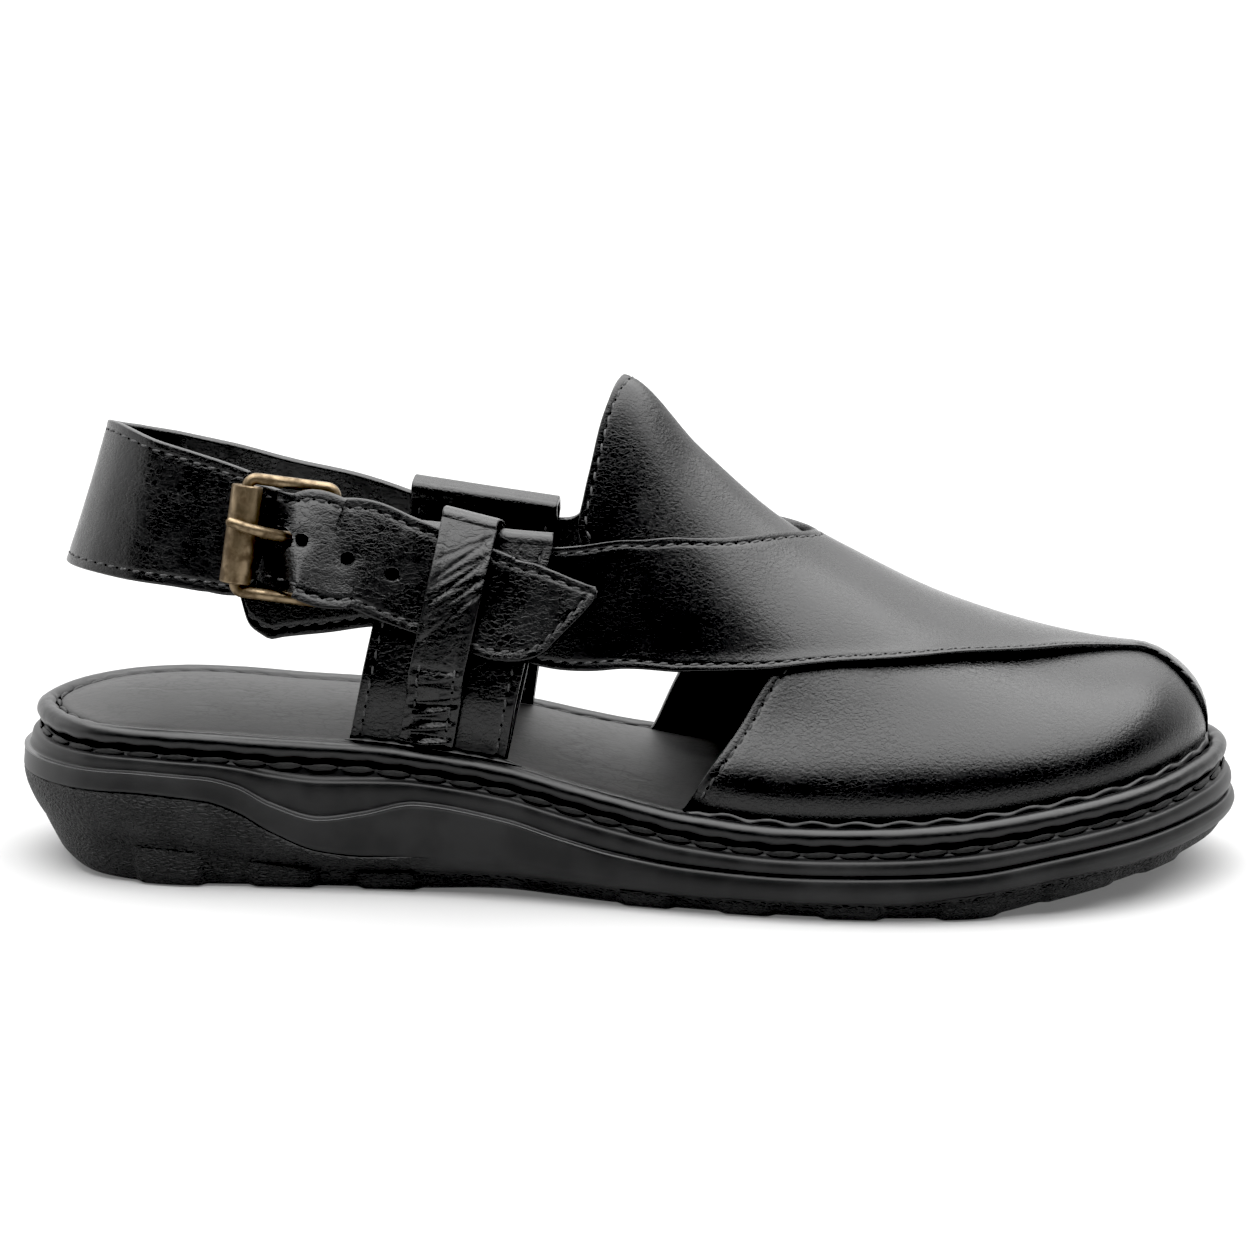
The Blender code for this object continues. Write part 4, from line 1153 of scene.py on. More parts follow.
@dataclass
class Upper:
    """The two crossing panels, their stitches and the gathered seam round the toe."""

    last: Last
    finishes: Finishes
    stitch: Stitch = Stitch()
    # Gathers of the toe's seam: spindles of this shape in the hole finish are dark lenses of painted shade in
    # their gaps.
    gather: Stitch = Stitch(
        pitch=10.2, length=8.6, radius=1.15, flatness=0.3, tilt_deg=2.0, sink=0.0, hole=0.0, sides=10,
        rings=11,
    )
    over_wall: float = 2.2
    over_swing: float = 0.5
    over_lift: float = 1.95
    wing_lift: float = 1.2
    toe_lift: float = 1.0
    under_lift: float = -0.1
    free_edge_lift: float = 0.7
    free_edge_width: float = 4.5
    tuck: float = 0.4
    tuck_width: float = 2.4
    puff: float = 1.7
    puff_height: float = 8.0
    puff_above: float = 11.0
    puff_below: float = 12.0
    toe_form: float = 3.0
    toe_form_rear: float = 1.9
    toe_form_from: float = 5.0
    toe_form_width: float = 16.0
    flap_form: float = 4.5
    over_form: float = 3.5
    seam_stations: int = 900
    seam_fade: float = 5.0
    seam_line: float = -6.0
    lip_top: float = 5.3
    lip_rise: tuple[float, float] = (0.95, 0.4)
    lip_bulge: tuple[float, float] = (0.2, 0.25)
    # Place of those lenses of painted shade: distance out of the outline, height over the seat, upward lean.
    gap_out: float = -6.55
    gap_rise: float = 6.9
    gap_lean: float = 0.45

    # Seams of the under and the over panel: whether at the rear edge, s from and to, girth from and to.
    UNDER_SEAMS = ((True, (0, 183), (-0.57, 0.97)), (True, (150, 300), (-0.96, -0.57)))
    OVER_SEAMS = ((False, (56, 281), (-2, 0.1)), (True, (56, 300), (-2, 0.95)))
    # Where the toe's seam ends on the lateral and on the medial side.
    SEAM_ENDS = (160.5, 149.5)
    # Steps along the shoe, and of the height and the girth.
    SEATED = Ramp(0, 14)
    ON_UNDER = Ramp(122, 20)
    AT_TOE = Ramp(235, 32)
    FREE_FROM = Ramp(134, 14)
    FREE_TO = Ramp(268, -24)
    TOE_FROM = Ramp(150, 20)
    TOE_FORM_LESS = Ramp(175, 60)
    FLAP_TO = Ramp(206, -18)
    FLAP_UP = Ramp(-0.6, 0.5)
    WING_FROM = Ramp(105, 25)
    WING_TO = Ramp(200, -36)
    WING_UP = Ramp(-0.78, 0.45)

    def over_rise(self, panel: Panel) -> Array:
        """Lift of the over panel: most where it lies on the under panel, with its lower edge standing off."""
        lift = self.wing_lift + (self.over_lift - self.wing_lift) * self.ON_UNDER(panel.s)
        lift = lift + (self.toe_lift - self.over_lift) * self.AT_TOE(panel.s)
        edge = self.free_edge_lift * bell(panel.sheet.first, self.free_edge_width)
        forward = self.FREE_FROM(panel.s) * self.FREE_TO(panel.s)
        return (lift + edge * forward) * self.SEATED(panel.height()) + self.fullness(panel)

    def under_rise(self, panel: Panel) -> Array:
        """Lift of the under panel: puffed out over the seam round the toe, and tucked in just above it."""
        return self.under_lift + self.fullness(panel) - self.tuck * bell(panel.sheet.end, self.tuck_width)

    def fullness(self, panel: Panel) -> Array:
        """Puff of the toe: a bell of the height about puff_height, wider below it than above."""
        h = panel.height()
        width = np.where(h > self.puff_height, self.puff_above, self.puff_below)
        return self.puff * bell(h - self.puff_height, width) * self.TOE_FROM(panel.s)

    def lean(self, panel: Panel) -> Array:
        """Height that leans the gloss: a puff round the toe, and walls of flap and wing that stand steeper.

        The walls' heights rise by a smooth step of the girth towards the ridge.
        """
        if panel.name == "over_panel":
            along = self.WING_TO(panel.s) * self.WING_FROM(panel.s)
            return self.over_form * self.WING_UP(panel.g) * along
        above = np.maximum(panel.height() - self.toe_form_from, 0)
        toe = self.toe_form * bell(above, self.toe_form_width)
        toe = toe * (self.toe_form_rear - self.TOE_FORM_LESS(panel.s))
        flap = self.flap_form * self.FLAP_UP(panel.g) * self.FLAP_TO(panel.s)
        return toe * self.TOE_FROM(panel.s) + flap

    def build(self) -> None:
        """Make both panels with their stitches, and the seam."""
        under = Panel(self.last, "under_panel", UNDER_FRONT, UNDER_REAR, self.under_rise)
        over = Panel(self.last, "over_panel", OVER_FRONT, OVER_REAR, self.over_rise, self.over_wall,
                     self.over_swing)
        for panel in (under, over):
            panel.build()
            skin = Skin.sheet(panel.outer, panel.inner, form=self.lean(panel))
            skin.piece(panel.name, self.finishes.panel, "upper_leather", "upper")
        seams = Seams(self.finishes)
        for panel, rows in ((under, self.UNDER_SEAMS), (over, self.OVER_SEAMS)):
            for row in rows:
                seams.sew(self.stitch, *panel.seam(*row))
        seams.build("panel", "upper_leather")
        self.toe_seam()

    def toe_seam(self) -> None:
        """Strip between the panels and the rolled edge, with dark lenses of painted shade over it for the
        gaps of its gathers.

        The strip's profile is a half-round lip. Its rise and bulge are a steady part and a part that swings
        with the gathers.
        """
        plan = self.last.plan
        ends = [plan.share_at(s, side) for s, side in zip(self.SEAM_ENDS, Side)]
        share = np.linspace(*ends, self.seam_stations)
        length = run_length(plan.ring(share, self.seam_line, "seat", 0.0), 0)
        wave = np.cos(2 * np.pi * length / self.gather.pitch)
        fade = faded(length, self.seam_fade)
        top = self.lip_top + (self.lip_rise[0] + self.lip_rise[1] * wave) * fade
        bulge = (self.lip_bulge[0] + self.lip_bulge[1] * wave) * fade
        level = np.zeros_like(length)
        profile = (
            (level - 4.3, level + 4.4), (bulge - 4.45, level + 5.0), (bulge - 4.8, top - 0.3),
            (bulge - 5.3, top), (level - 5.9, top - 0.05), (level - 6.8, top - 0.5),
            (level - 7.2, level + 4.8), (level - 5.6, level + 4.2),
        )
        rings = np.stack([plan.ring(share, out, "seat", rise) for out, rise in profile], axis=1)
        Skin.tube(rings, closed=False).piece("toe_seam", self.finishes.rand, "upper_leather")
        # Dark lenses of painted shade in the gaps between the gathers.
        flat = plan.normal(share)
        normal = unit(np.concatenate([flat, np.full((len(share), 1), self.gap_lean)], axis=1))
        line = plan.ring(share, self.gap_out, "seat", self.gap_rise)
        gaps = self.gather.repeated(self.gather.spindle(), line, normal, 0.5)
        gaps.piece("gather_gap_shades", self.finishes.hole, "upper_leather")


@dataclass
class Foundation:
    """Moulded sole, rolled edge and padded footbed, with the heavy stitches between them."""

    plan: SolePlan
    finishes: Finishes
    stations: int = 300
    lug_depth: float = 2.0
    lug_flank: float = 1.4
    flank_marks: int = 7
    rear_bulge: float = 0.9
    rear_taper: float = 2.2
    crown: float = 1.3
    crown_columns: int = 24
    rand_stations: int = 1200
    rand_sides: int = 28
    rand_uneven: float = 0.6
    seam_stations: int = 1500
    groove_stitch: Stitch = Stitch(
        pitch=8.6, length=8.0, radius=0.95, flatness=0.42, tilt_deg=3.0, sink=0.3, hole=0.0, sides=10,
        rings=11,
    )
    inner_stitch: Stitch = Stitch(
        pitch=7.0, length=5.6, radius=0.6, flatness=0.8, tilt_deg=4.0, sink=0.4, hole=0.0, sides=8, rings=9,
    )

    # Steps along the shoe: to the forefoot's form, the heel's bulge, its taper, its groove and its pebbles.
    FORE = Ramp(120, 45)
    BULGE = Ramp(14, -14)
    TAPER = Ramp(16, -16)
    GROOVE = Ramp(104, -20)
    PEBBLED = Ramp(104, -14)
    # Steps of the depth below the shelf and below the tread line that bring the pebbles in, and of the width.
    BELOW_SHELF = Ramp(0.2, 0.3)
    BELOW_TREAD = Ramp(0, 0.4)
    CROWNED = Ramp(0, 40)
    # Painted highlight on the edge of the wave ledge: share of the way to it, share below it, loss towards
    # the toe.
    RIDGE_HIGHLIGHT = (0.98, 0.05, 0.6)
    # Stitches in the groove and inside the rolled edge: distance out of the outline, height over the seat.
    GROOVE_SEAM = (-0.75, -0.75)
    INNER_SEAM = (-5.35, 4.35)
    # Pinch of the rolled edge at its stitches inside and below: turn in degrees, width in radians, depth.
    PINCHES = ((140.0, 0.6, 0.13), (-40.0, 0.55, 0.1))
    # Waves of the rolled edge: height, length of a radian, start.
    WAVES = ((0.1, 9.0, 0.0), (0.08, 23.0, 1.0), (0.06, 4.1, 0.0))

    # Lugs across the tread, columns from and to along the shoe.
    LUGS = (
        (29, 45), (57, 72), (83, 97), (146, 158), (170, 182), (194, 208), (222, 236), (247, 263), (271, 279),
    )
    # Side of the sole from the top down, between two levels: share of the way between them, distance out of
    # the outline at the heel and at the forefoot, share of the heel's bulge, depth of the heel's groove.
    SIDE = {
        ("seat", "ledge"): (
            (0.0, -2.6, -2.6, 0.0, 0.0), (0.05, -1.6, -1.6, 0.0, 0.0), (0.1, -1.25, -1.25, 0.0, 0.0),
            (0.2, -1.1, -1.1, 0.0, 0.0), (0.26, -0.75, -0.75, 0.0, 0.0), (0.29, -0.1, -0.1, 0.1, 0.0),
            (0.315, 0.35, 0.4, 0.2, 0.0), (0.35, 0.6, 0.7, 0.3, 0.0), (0.42, 0.8, 1.0, 0.4, 0.0),
            (0.55, 0.95, 1.3, 0.5, 0.0), (0.7, 1.0, 1.35, 0.6, 0.0), (0.85, 0.95, 1.15, 0.7, 0.0),
            (0.93, 1.0, 0.75, 0.8, 0.0), (0.965, 1.12, 0.4, 0.8, 0.0), (0.985, 1.6, 0.3, 0.9, 0.0),
            (0.995, 2.2, 0.5, 1.0, 0.0), (1.0, 2.45, 0.85, 1.0, 0.0),
        ),
        ("ledge", "shelf"): (
            (0.03, 2.56, 1.2, 1.0, 0.0), (0.08, 2.55, 1.5, 1.0, 0.0), (0.2, 2.5, 1.8, 1.0, 0.0),
            (0.5, 2.6, 2.1, 1.0, 0.0), (0.8, 2.75, 2.25, 1.0, 0.0), (0.93, 2.8, 2.25, 1.0, 0.0),
            (0.97, 2.8, 2.25, 1.0, 0.1), (1.0, 2.8, 2.2, 1.0, 0.5),
        ),
        ("shelf", "tread"): (
            (0.012, 2.8, 2.2, 1.0, 0.5), (0.03, 2.8, 2.2, 1.0, 0.1), (0.08, 2.75, 2.15, 1.0, 0.0),
            (0.2, 2.7, 2.1, 0.9, 0.0), (0.4, 2.35, 1.95, 0.8, 0.0), (0.6, 1.75, 1.75, 0.6, 0.0),
            (0.8, 0.95, 1.45, 0.4, 0.0), (0.93, 0.25, 1.1, 0.2, 0.0), (1.0, -0.15, 0.75, 0.1, 0.0),
        ),
    }
    # Below the tread line between lugs: share of the way to the base, distance out at the heel and the
    # forefoot, share of the lug's depth below the base.
    HOLLOW = (
        (0.05, -0.25, 0.45, 0.0), (0.25, -0.45, 0.2, 0.0), (0.6, -0.9, -0.3, 0.1), (0.9, -1.7, -1.3, 0.5),
        (1.0, -3.0, -2.7, 0.8),
    )
    # The same rows on a lug.
    LUG_SIDE = (
        (0.02, 0.35, 0.7, 0.0), (0.25, 0.3, 0.65, 0.0), (0.75, -0.1, 0.3, 0.1), (1.0, -0.8, -0.5, 0.65),
        (1.0, -2.3, -2.0, 1.0),
    )
    # Padded footbed from its edge in: distance out of the outline, height over the seat.
    FOOTBED = (
        (-5.5, 0.4), (-5.45, 2.6), (-5.5, 3.5), (-5.8, 4.2), (-6.3, 4.65), (-7.0, 4.92), (-8.0, 5.1),
        (-9.2, 5.24),
    )

    def ring_shares(self) -> Array:
        """Places round the outline with the same s on both sides, closer at heel, toe and the lugs' ends."""
        low, high = float(self.plan.s.min()), float(self.plan.s.max())
        even = low + (high - low) * (1 - np.cos(np.linspace(0, np.pi, self.stations))) / 2
        ends = np.array(self.LUGS, float).ravel()
        marks = (ends[:, None] + np.linspace(-1, 1, self.flank_marks) * self.lug_flank).ravel()
        s = np.unique(np.concatenate([even, marks]))
        near = self.plan.share_at(s, Side.LATERAL)
        far = self.plan.share_at(s[1:-1], Side.MEDIAL)[::-1]
        return np.concatenate([near, far])

    def lug_mask(self, s: Array) -> Array:
        """1 on a lug, 0 between lugs, with a soft flank at each end."""
        mask = np.zeros_like(s)
        flank = 2 * self.lug_flank
        for start, end in self.LUGS:
            mask = np.maximum(mask, ease(0.5 + (s - start) / flank) * ease(0.5 + (end - s) / flank))
        return mask

    def ring(self, share: Array, upper: str, lower: str, part: Number, out: Number,
             drop: Number = 0.0) -> Array:
        """Ring of the sole's side at a part of the way between two levels, less a drop."""
        flat = self.plan.ring(share, out, "seat", 0.0)
        s = flat[:, 0]
        flat[:, 2] = self.plan.level(upper, s) * (1 - part) + self.plan.level(lower, s) * part - drop
        return flat

    def lid(self, ring: Array, start: int, fresh: int, crown: float) -> tuple[Array, Array]:
        """Strips across a ring from its lateral to its medial side, raised between them.

        Across the share c the rise is crown * (1 - (2c - 1)^2), less where the ring is narrow.

        Args:
            ring: points, with equal places on both sides.
            start: index of the ring's first point.
            fresh: index of the first point that is added.
            crown: rise in the middle.

        Returns:
            The added points and the faces.
        """
        count = len(ring)
        near = np.arange(1, count // 2)
        far = count - near
        c = np.linspace(0, 1, self.crown_columns + 1)[1:-1]
        between = ring[near, None] + (ring[far] - ring[near])[:, None] * c[:, None]
        width = np.linalg.norm(ring[far] - ring[near], axis=1)[:, None]
        between[..., 2] += crown * (1 - (2 * c - 1) ** 2) * self.CROWNED(width)
        added = fresh + np.arange(between.shape[0] * len(c)).reshape(-1, len(c))
        index = np.hstack([start + near[:, None], added, start + far[:, None]])
        none = np.full(index.shape[1] - 1, -1)
        first = np.stack([none + 1 + start, index[0, :-1], index[0, 1:], none], axis=1)
        last = np.stack([none + 1 + start + count // 2, index[-1, 1:], index[-1, :-1], none], axis=1)
        return between.reshape(-1, 3), np.vstack([grid_quads(index), first, last])

    def stacked(self, rings: Sequence[Array], crown: float = 0.0) -> Skin:
        """Rings one after the other, closed with lids, the last of which may be crowned."""
        count = len(rings[0])
        index = np.arange(len(rings) * count).reshape(len(rings), count)
        index = np.hstack([index, index[:, :1]])
        fresh = len(rings) * count
        floor, floor_faces = self.lid(rings[0], 0, fresh, 0.0)
        top, top_faces = self.lid(rings[-1], fresh - count, fresh + len(floor), crown)
        points = np.vstack([*rings, floor, top])
        faces = np.vstack([grid_quads(index), floor_faces, turned_over(top_faces)])
        return Skin(points, outwards(points, faces))

    def sole(self) -> None:
        """Side rows down to the tread line, then rows that differ on and between the lugs."""
        share = self.ring_shares()
        s = self.plan.path.at(share)[:, 0]
        fore = self.FORE(s)
        rear = self.rear_bulge * self.BULGE(s)
        on = self.lug_mask(s)
        lined = self.GROOVE(s)
        above, below, loss = self.RIDGE_HIGHLIGHT
        rings = []
        edge = []
        for (upper, lower), rows in self.SIDE.items():
            for part, heel, toe, bulge, groove in rows:
                out = heel + (toe - heel) * fore + bulge * rear - groove * lined
                rings.append(self.ring(share, upper, lower, part, out))
                edge.append((lower == "ledge" and part > above) or (upper == "ledge" and part < below))
        for hollow, lug in zip(np.array(self.HOLLOW), np.array(self.LUG_SIDE)):
            part, heel, toe, drop = hollow[:, None] + (lug - hollow)[:, None] * on
            out = heel + (toe - heel) * fore - self.rear_taper * self.TAPER(s) * part
            rings.append(self.ring(share, "tread", "base", part, out, drop * self.lug_depth))
        skin = self.stacked(rings)
        # Weights of the painted highlight on the wave ledge's edge, weaker towards the toe.
        ridge = np.zeros(len(skin.points))
        ridge[:len(edge) * len(s)] = (np.array(edge)[:, None] * (1 - loss * fore)).ravel()
        skin.values["ridge"] = ridge
        s = skin.points[:, 0]
        z = skin.points[:, 2]
        heel = self.BELOW_SHELF(self.plan.level("shelf", s) - z) * self.PEBBLED(s)
        foot = self.BELOW_TREAD(self.plan.level("tread", s) - z)
        skin.values["tread"] = np.maximum(heel, foot)
        skin.piece("moulded_sole", self.finishes.sole, "sole_rubber", "sole")

    def rolled_edge(self) -> None:
        """Tube along the outline, pinched at the stitches inside it and below it, and slightly uneven."""
        share = np.linspace(0, 1, self.rand_stations, endpoint=False)
        run = share * self.plan.path.length
        stitches = [np.abs(np.sin(np.pi * run / stitch.pitch)) ** 2
                    for stitch in (self.inner_stitch, self.groove_stitch)]
        uneven = waves(run, self.WAVES)
        rings = []
        for turn in circle(self.rand_sides):
            size = 1.0
            for (at_deg, width, depth), held in zip(self.PINCHES, stitches):
                away = math.remainder(turn - math.radians(at_deg), 2 * math.pi)
                size = size - depth * bell(away, width) * (1 - held)
            radius = RAND_RADIUS * size + uneven * self.rand_uneven
            out = radius * math.cos(turn) - RAND_RADIUS
            rise = GAP + RAND_RADIUS + radius * math.sin(turn)
            rings.append(self.plan.ring(share, out, "seat", rise))
        skin = Skin.tube(np.stack(rings, axis=1), closed=True)
        skin.piece("rolled_edge", self.finishes.rand, "rand_leather", "rand")

    def footbed(self) -> None:
        """Padded leather bed, crowned in the middle."""
        share = self.ring_shares()
        rings = [self.plan.ring(share, out, "seat", rise) for out, rise in self.FOOTBED]
        skin = self.stacked(rings, self.crown)
        skin.piece("padded_footbed", self.finishes.footbed, "footbed_leather", "insole")

    def stitches(self) -> None:
        """Heavy stitches in the groove under the rolled edge, and along its inner side."""
        share = np.linspace(0, 1, self.seam_stations)
        outward = np.concatenate([self.plan.normal(share), np.zeros((len(share), 1))], axis=1)
        upward = np.tile((0.0, 0.0, 1.0), (len(share), 1))
        seams = Seams(self.finishes)
        for stitch, (out, rise), normal in ((self.groove_stitch, self.GROOVE_SEAM, outward),
                                            (self.inner_stitch, self.INNER_SEAM, upward)):
            seams.sew(stitch, self.plan.ring(share, out, "seat", rise), normal)
        seams.build("sole", "rand_leather", heavy=True)

    def build(self) -> None:
        """Make every piece under the upper."""
        self.sole()
        self.rolled_edge()
        self.footbed()
        self.stitches()


@dataclass
class HeelStrap:
    """Strap from the medial loop round the heel, under the roller and over the heel bar, to its free tail."""

    last: Last
    finishes: Finishes
    wall: float = 2.2
    rim: Rim = Rim()
    stitch: Stitch = EDGE_STITCH
    along: int = 330
    across: int = 26
    hole_radius: float = 1.5
    prong_hole_radius: float = 2.6
    hole_sides: int = 24
    dimple: float = 0.35
    dimple_width: float = 2.2
    # Size and sink of the dark lenses of painted shade in the strap's holes.
    plug_size: float = 1.05
    plug_sink: float = 0.5
    sewn_width: float = 6.0
    lean_step: float = 4.0

    # Places across between which the holes are cut through the lateral run, and beside which that run lies.
    PUNCHED = (-44.0, -20.0)
    # Height a millimetre of width that leans the tail's gloss beside the buckle, and its loss further on.
    TAIL_FORM = (0.46, 0.32)
    TAIL_FROM = Ramp(62, 8)
    TAIL_LESS = Ramp(69, 16)

    def rows(self) -> Rows:
        """Middle line, width and lean; the tail's places come from the last."""
        rows = [tuple(row) for row in STRAP_LOOP]
        for s, z, width, lift in STRAP_TAIL:
            at = self.last.wall(s, z, Side.LATERAL, np.array(lift))
            above = self.last.wall(s, z + self.lean_step, Side.LATERAL, np.array(lift))
            rows.append((*at, width, math.degrees(math.atan2(above[1] - at[1], above[2] - at[2]))))
        return rows

    def build(self) -> None:
        """Carry a flat band along the middle line, turned by the lean, cut its holes and sew its edges."""
        path = Path(self.rows())
        line = path.at(self.rim.ends(path.length, self.along))
        centre = line[:, :3]
        forward = unit(np.gradient(centre, axis=0))
        inward = unit(np.cross((0.0, 0.0, 1.0), forward))
        upright = np.cross(forward, inward)
        lean = np.radians(line[:, 4])[:, None]
        way = np.cos(lean) * upright + np.sin(lean) * inward
        offset = self.rim.lines(line[:, 3], self.across) - line[:, 3:4] / 2
        middle = centre[:, None] + offset[..., None] * way[:, None]
        out = unit(np.cross(forward, way))
        sheet = Sheet.over(middle, np.broadcast_to(out[:, None], middle.shape))
        raised = -self.rim.grooves(sheet)
        lateral = middle[..., 1] < self.PUNCHED[1]
        away = [np.where(lateral, np.hypot(middle[..., 0] - s, middle[..., 2] - z), np.inf)
                for s, z in STRAP_HOLES]
        for distance in away:
            raised = raised - self.dimple * bell(distance, self.dimple_width)
        outer, inner = sheet.skins(self.wall, self.rim, raised)
        s = centre[:, :1]
        tail = self.TAIL_FROM(s) * (centre[:, 1:2] < self.PUNCHED[1])
        most, loss = self.TAIL_FORM
        strap = Skin.sheet(outer, inner, form=-offset * tail * (most - loss * self.TAIL_LESS(s)))
        strap = strap.piece("heel_strap_band", self.finishes.strap, "strap_leather", "heel_strap")
        for hole in STRAP_HOLES:
            self.punch(strap, *hole, self.hole_radius)
        self.punch(strap, *PRONG_HOLE, self.prong_hole_radius)
        wide = line[:, 3] > self.sewn_width
        seams = Seams(self.finishes)
        # Dark lenses of painted shade, sunk into the punched holes.
        plug = replace(self.stitch, hole=self.hole_radius * self.plug_size, tilt_deg=0.0)
        for (s, z), distance in zip(STRAP_HOLES, away):
            row, column = np.unravel_index(np.argmin(distance), distance.shape)
            at = np.array((s, middle[row, column, 1], z)) - out[row] * self.plug_sink
            ends = np.stack([at - forward[row] * 0.1, at + forward[row] * 0.1])
            seams.pits.append(plug.repeated(plug.pit(), ends, np.tile(out[row], (2, 1)), 0.5))
        for row in (self.rim.seam_row, -1 - self.rim.seam_row):
            seams.sew(self.stitch, outer[wide, row], out[wide])
        seams.build("strap", "strap_leather")

    def punch(self, strap: bpy.types.Object, s: float, z: float, radius: float) -> None:
        """Cut a round hole across the shoe through the lateral run of the strap."""
        angle = circle(self.hole_sides)
        x = s + radius * np.cos(angle)
        up = z + radius * np.sin(angle)
        rings = [np.stack([x, np.full_like(x, y), up], axis=1) for y in self.PUNCHED]
        cutter = linked("punch", Skin.tube(np.stack(rings), closed=False).mesh("punch"))
        cut = strap.modifiers.new("punch", "BOOLEAN")
        cut.operation = "DIFFERENCE"
        cut.solver = "EXACT"
        cut.object = cutter
        graph = bpy.context.evaluated_depsgraph_get()
        punched = bpy.data.meshes.new_from_object(strap.evaluated_get(graph))
        strap.modifiers.clear()
        strap.data = punched
        bpy.data.objects.remove(cutter)


@dataclass
class FoldedStrip:
    """Leather strip up the outside of a wall, over a fold and down the inside."""

    last: Last
    side: Side
    foot: tuple[float, float]
    forward: float
    fold: tuple[float, float]
    foot_rise: float
    wall: float
    fold_rise: float
    lift_out: Callable[[Array, Array], Array]
    lift_in: Callable[[Array, Array], Array]
    inside_end: Optional[float] = None
    fold_power: float = 0.75
    across: int = 18
    leaf_rows: int = 70
    fold_rows: int = 40
    rim: Rim = Rim()

    # Step of the depth below the fold over which the seams' grooves come in.
    BELOW_FOLD = Ramp(0, 3)

    def build(self, crumple: Callable[[Array, Array, Array], Array]) -> None:
        """Lay the outer leaf, the fold as half a superellipse, and the inner leaf.

        Args:
            crumple: height added along the normal from (share across, height, 1 on the outer leaf).
        """
        width = self.foot[1] - self.foot[0]
        w = self.rim.lines(np.array([width]), self.across)[0] / width
        foot = self.foot[0] + width * w
        low = self.last.plan.level("seat", foot) + self.foot_rise
        high = self.fold[0] + (self.fold[1] - self.fold[0]) * w
        end = low if self.inside_end is None else np.full_like(low, self.inside_end)
        share = np.linspace(0, 1, self.leaf_rows)[:, None]

        def s_of(z: Array) -> Array:
            """Place along the shoe at a height: the strip leans forward from its foot to its fold."""
            return foot + self.forward * (z - low) / (high - low)

        z_out = low + (high - low) * share
        outer = self.last.wall(s_of(z_out), z_out, self.side, self.lift_out(z_out, foot))
        top = s_of(high)
        g = self.last.girth(top, high, self.side)
        normal, across = self.last.normal(top, g)
        a = self.lift_out(high, foot)[..., None]
        b = self.lift_in(high, foot)[..., None]
        turn = np.linspace(0, np.pi, self.fold_rows)[1:-1, None, None]
        up = -self.side.value * across
        side_way = np.sign(np.cos(turn)) * np.abs(np.cos(turn)) ** self.fold_power
        fold = (self.last.point(top, g) + normal * ((a + b) / 2 + (a - b) / 2 * side_way)
                + up * self.fold_rise * np.sin(turn) ** self.fold_power)
        z_in = high + (end - high) * share
        inner = self.last.wall(s_of(z_in), z_in, self.side, self.lift_in(z_in, foot))
        middle = np.concatenate([outer, fold, inner])
        self.z = np.concatenate([z_out, np.broadcast_to(high, fold.shape[:2]), z_in])
        on_outside = np.concatenate([np.ones_like(z_out), np.ones(fold.shape[:2]), np.zeros_like(z_in)])
        sheet = Sheet.over(middle)
        if np.sum(sheet.normal[self.leaf_rows // 2, :, 1]) * self.side.value < 0:
            sheet.normal = -sheet.normal
        height = crumple(np.broadcast_to(w, self.z.shape), self.z, on_outside)
        sheet.middle = middle + height[..., None] * sheet.normal
        groove = self.rim.grooves(sheet) * self.BELOW_FOLD(high - self.z)
        self.normal = sheet.normal
        self.outer, self.inner = sheet.skins(self.wall, self.rim, -groove)

    def seam(self, at_end: bool, rows: slice) -> tuple[Array, Array]:
        """Line and normals of the seam beside one long edge, on some of the rows."""
        column = -1 - self.rim.seam_row if at_end else self.rim.seam_row
        return self.outer[rows, column], self.normal[rows, column]


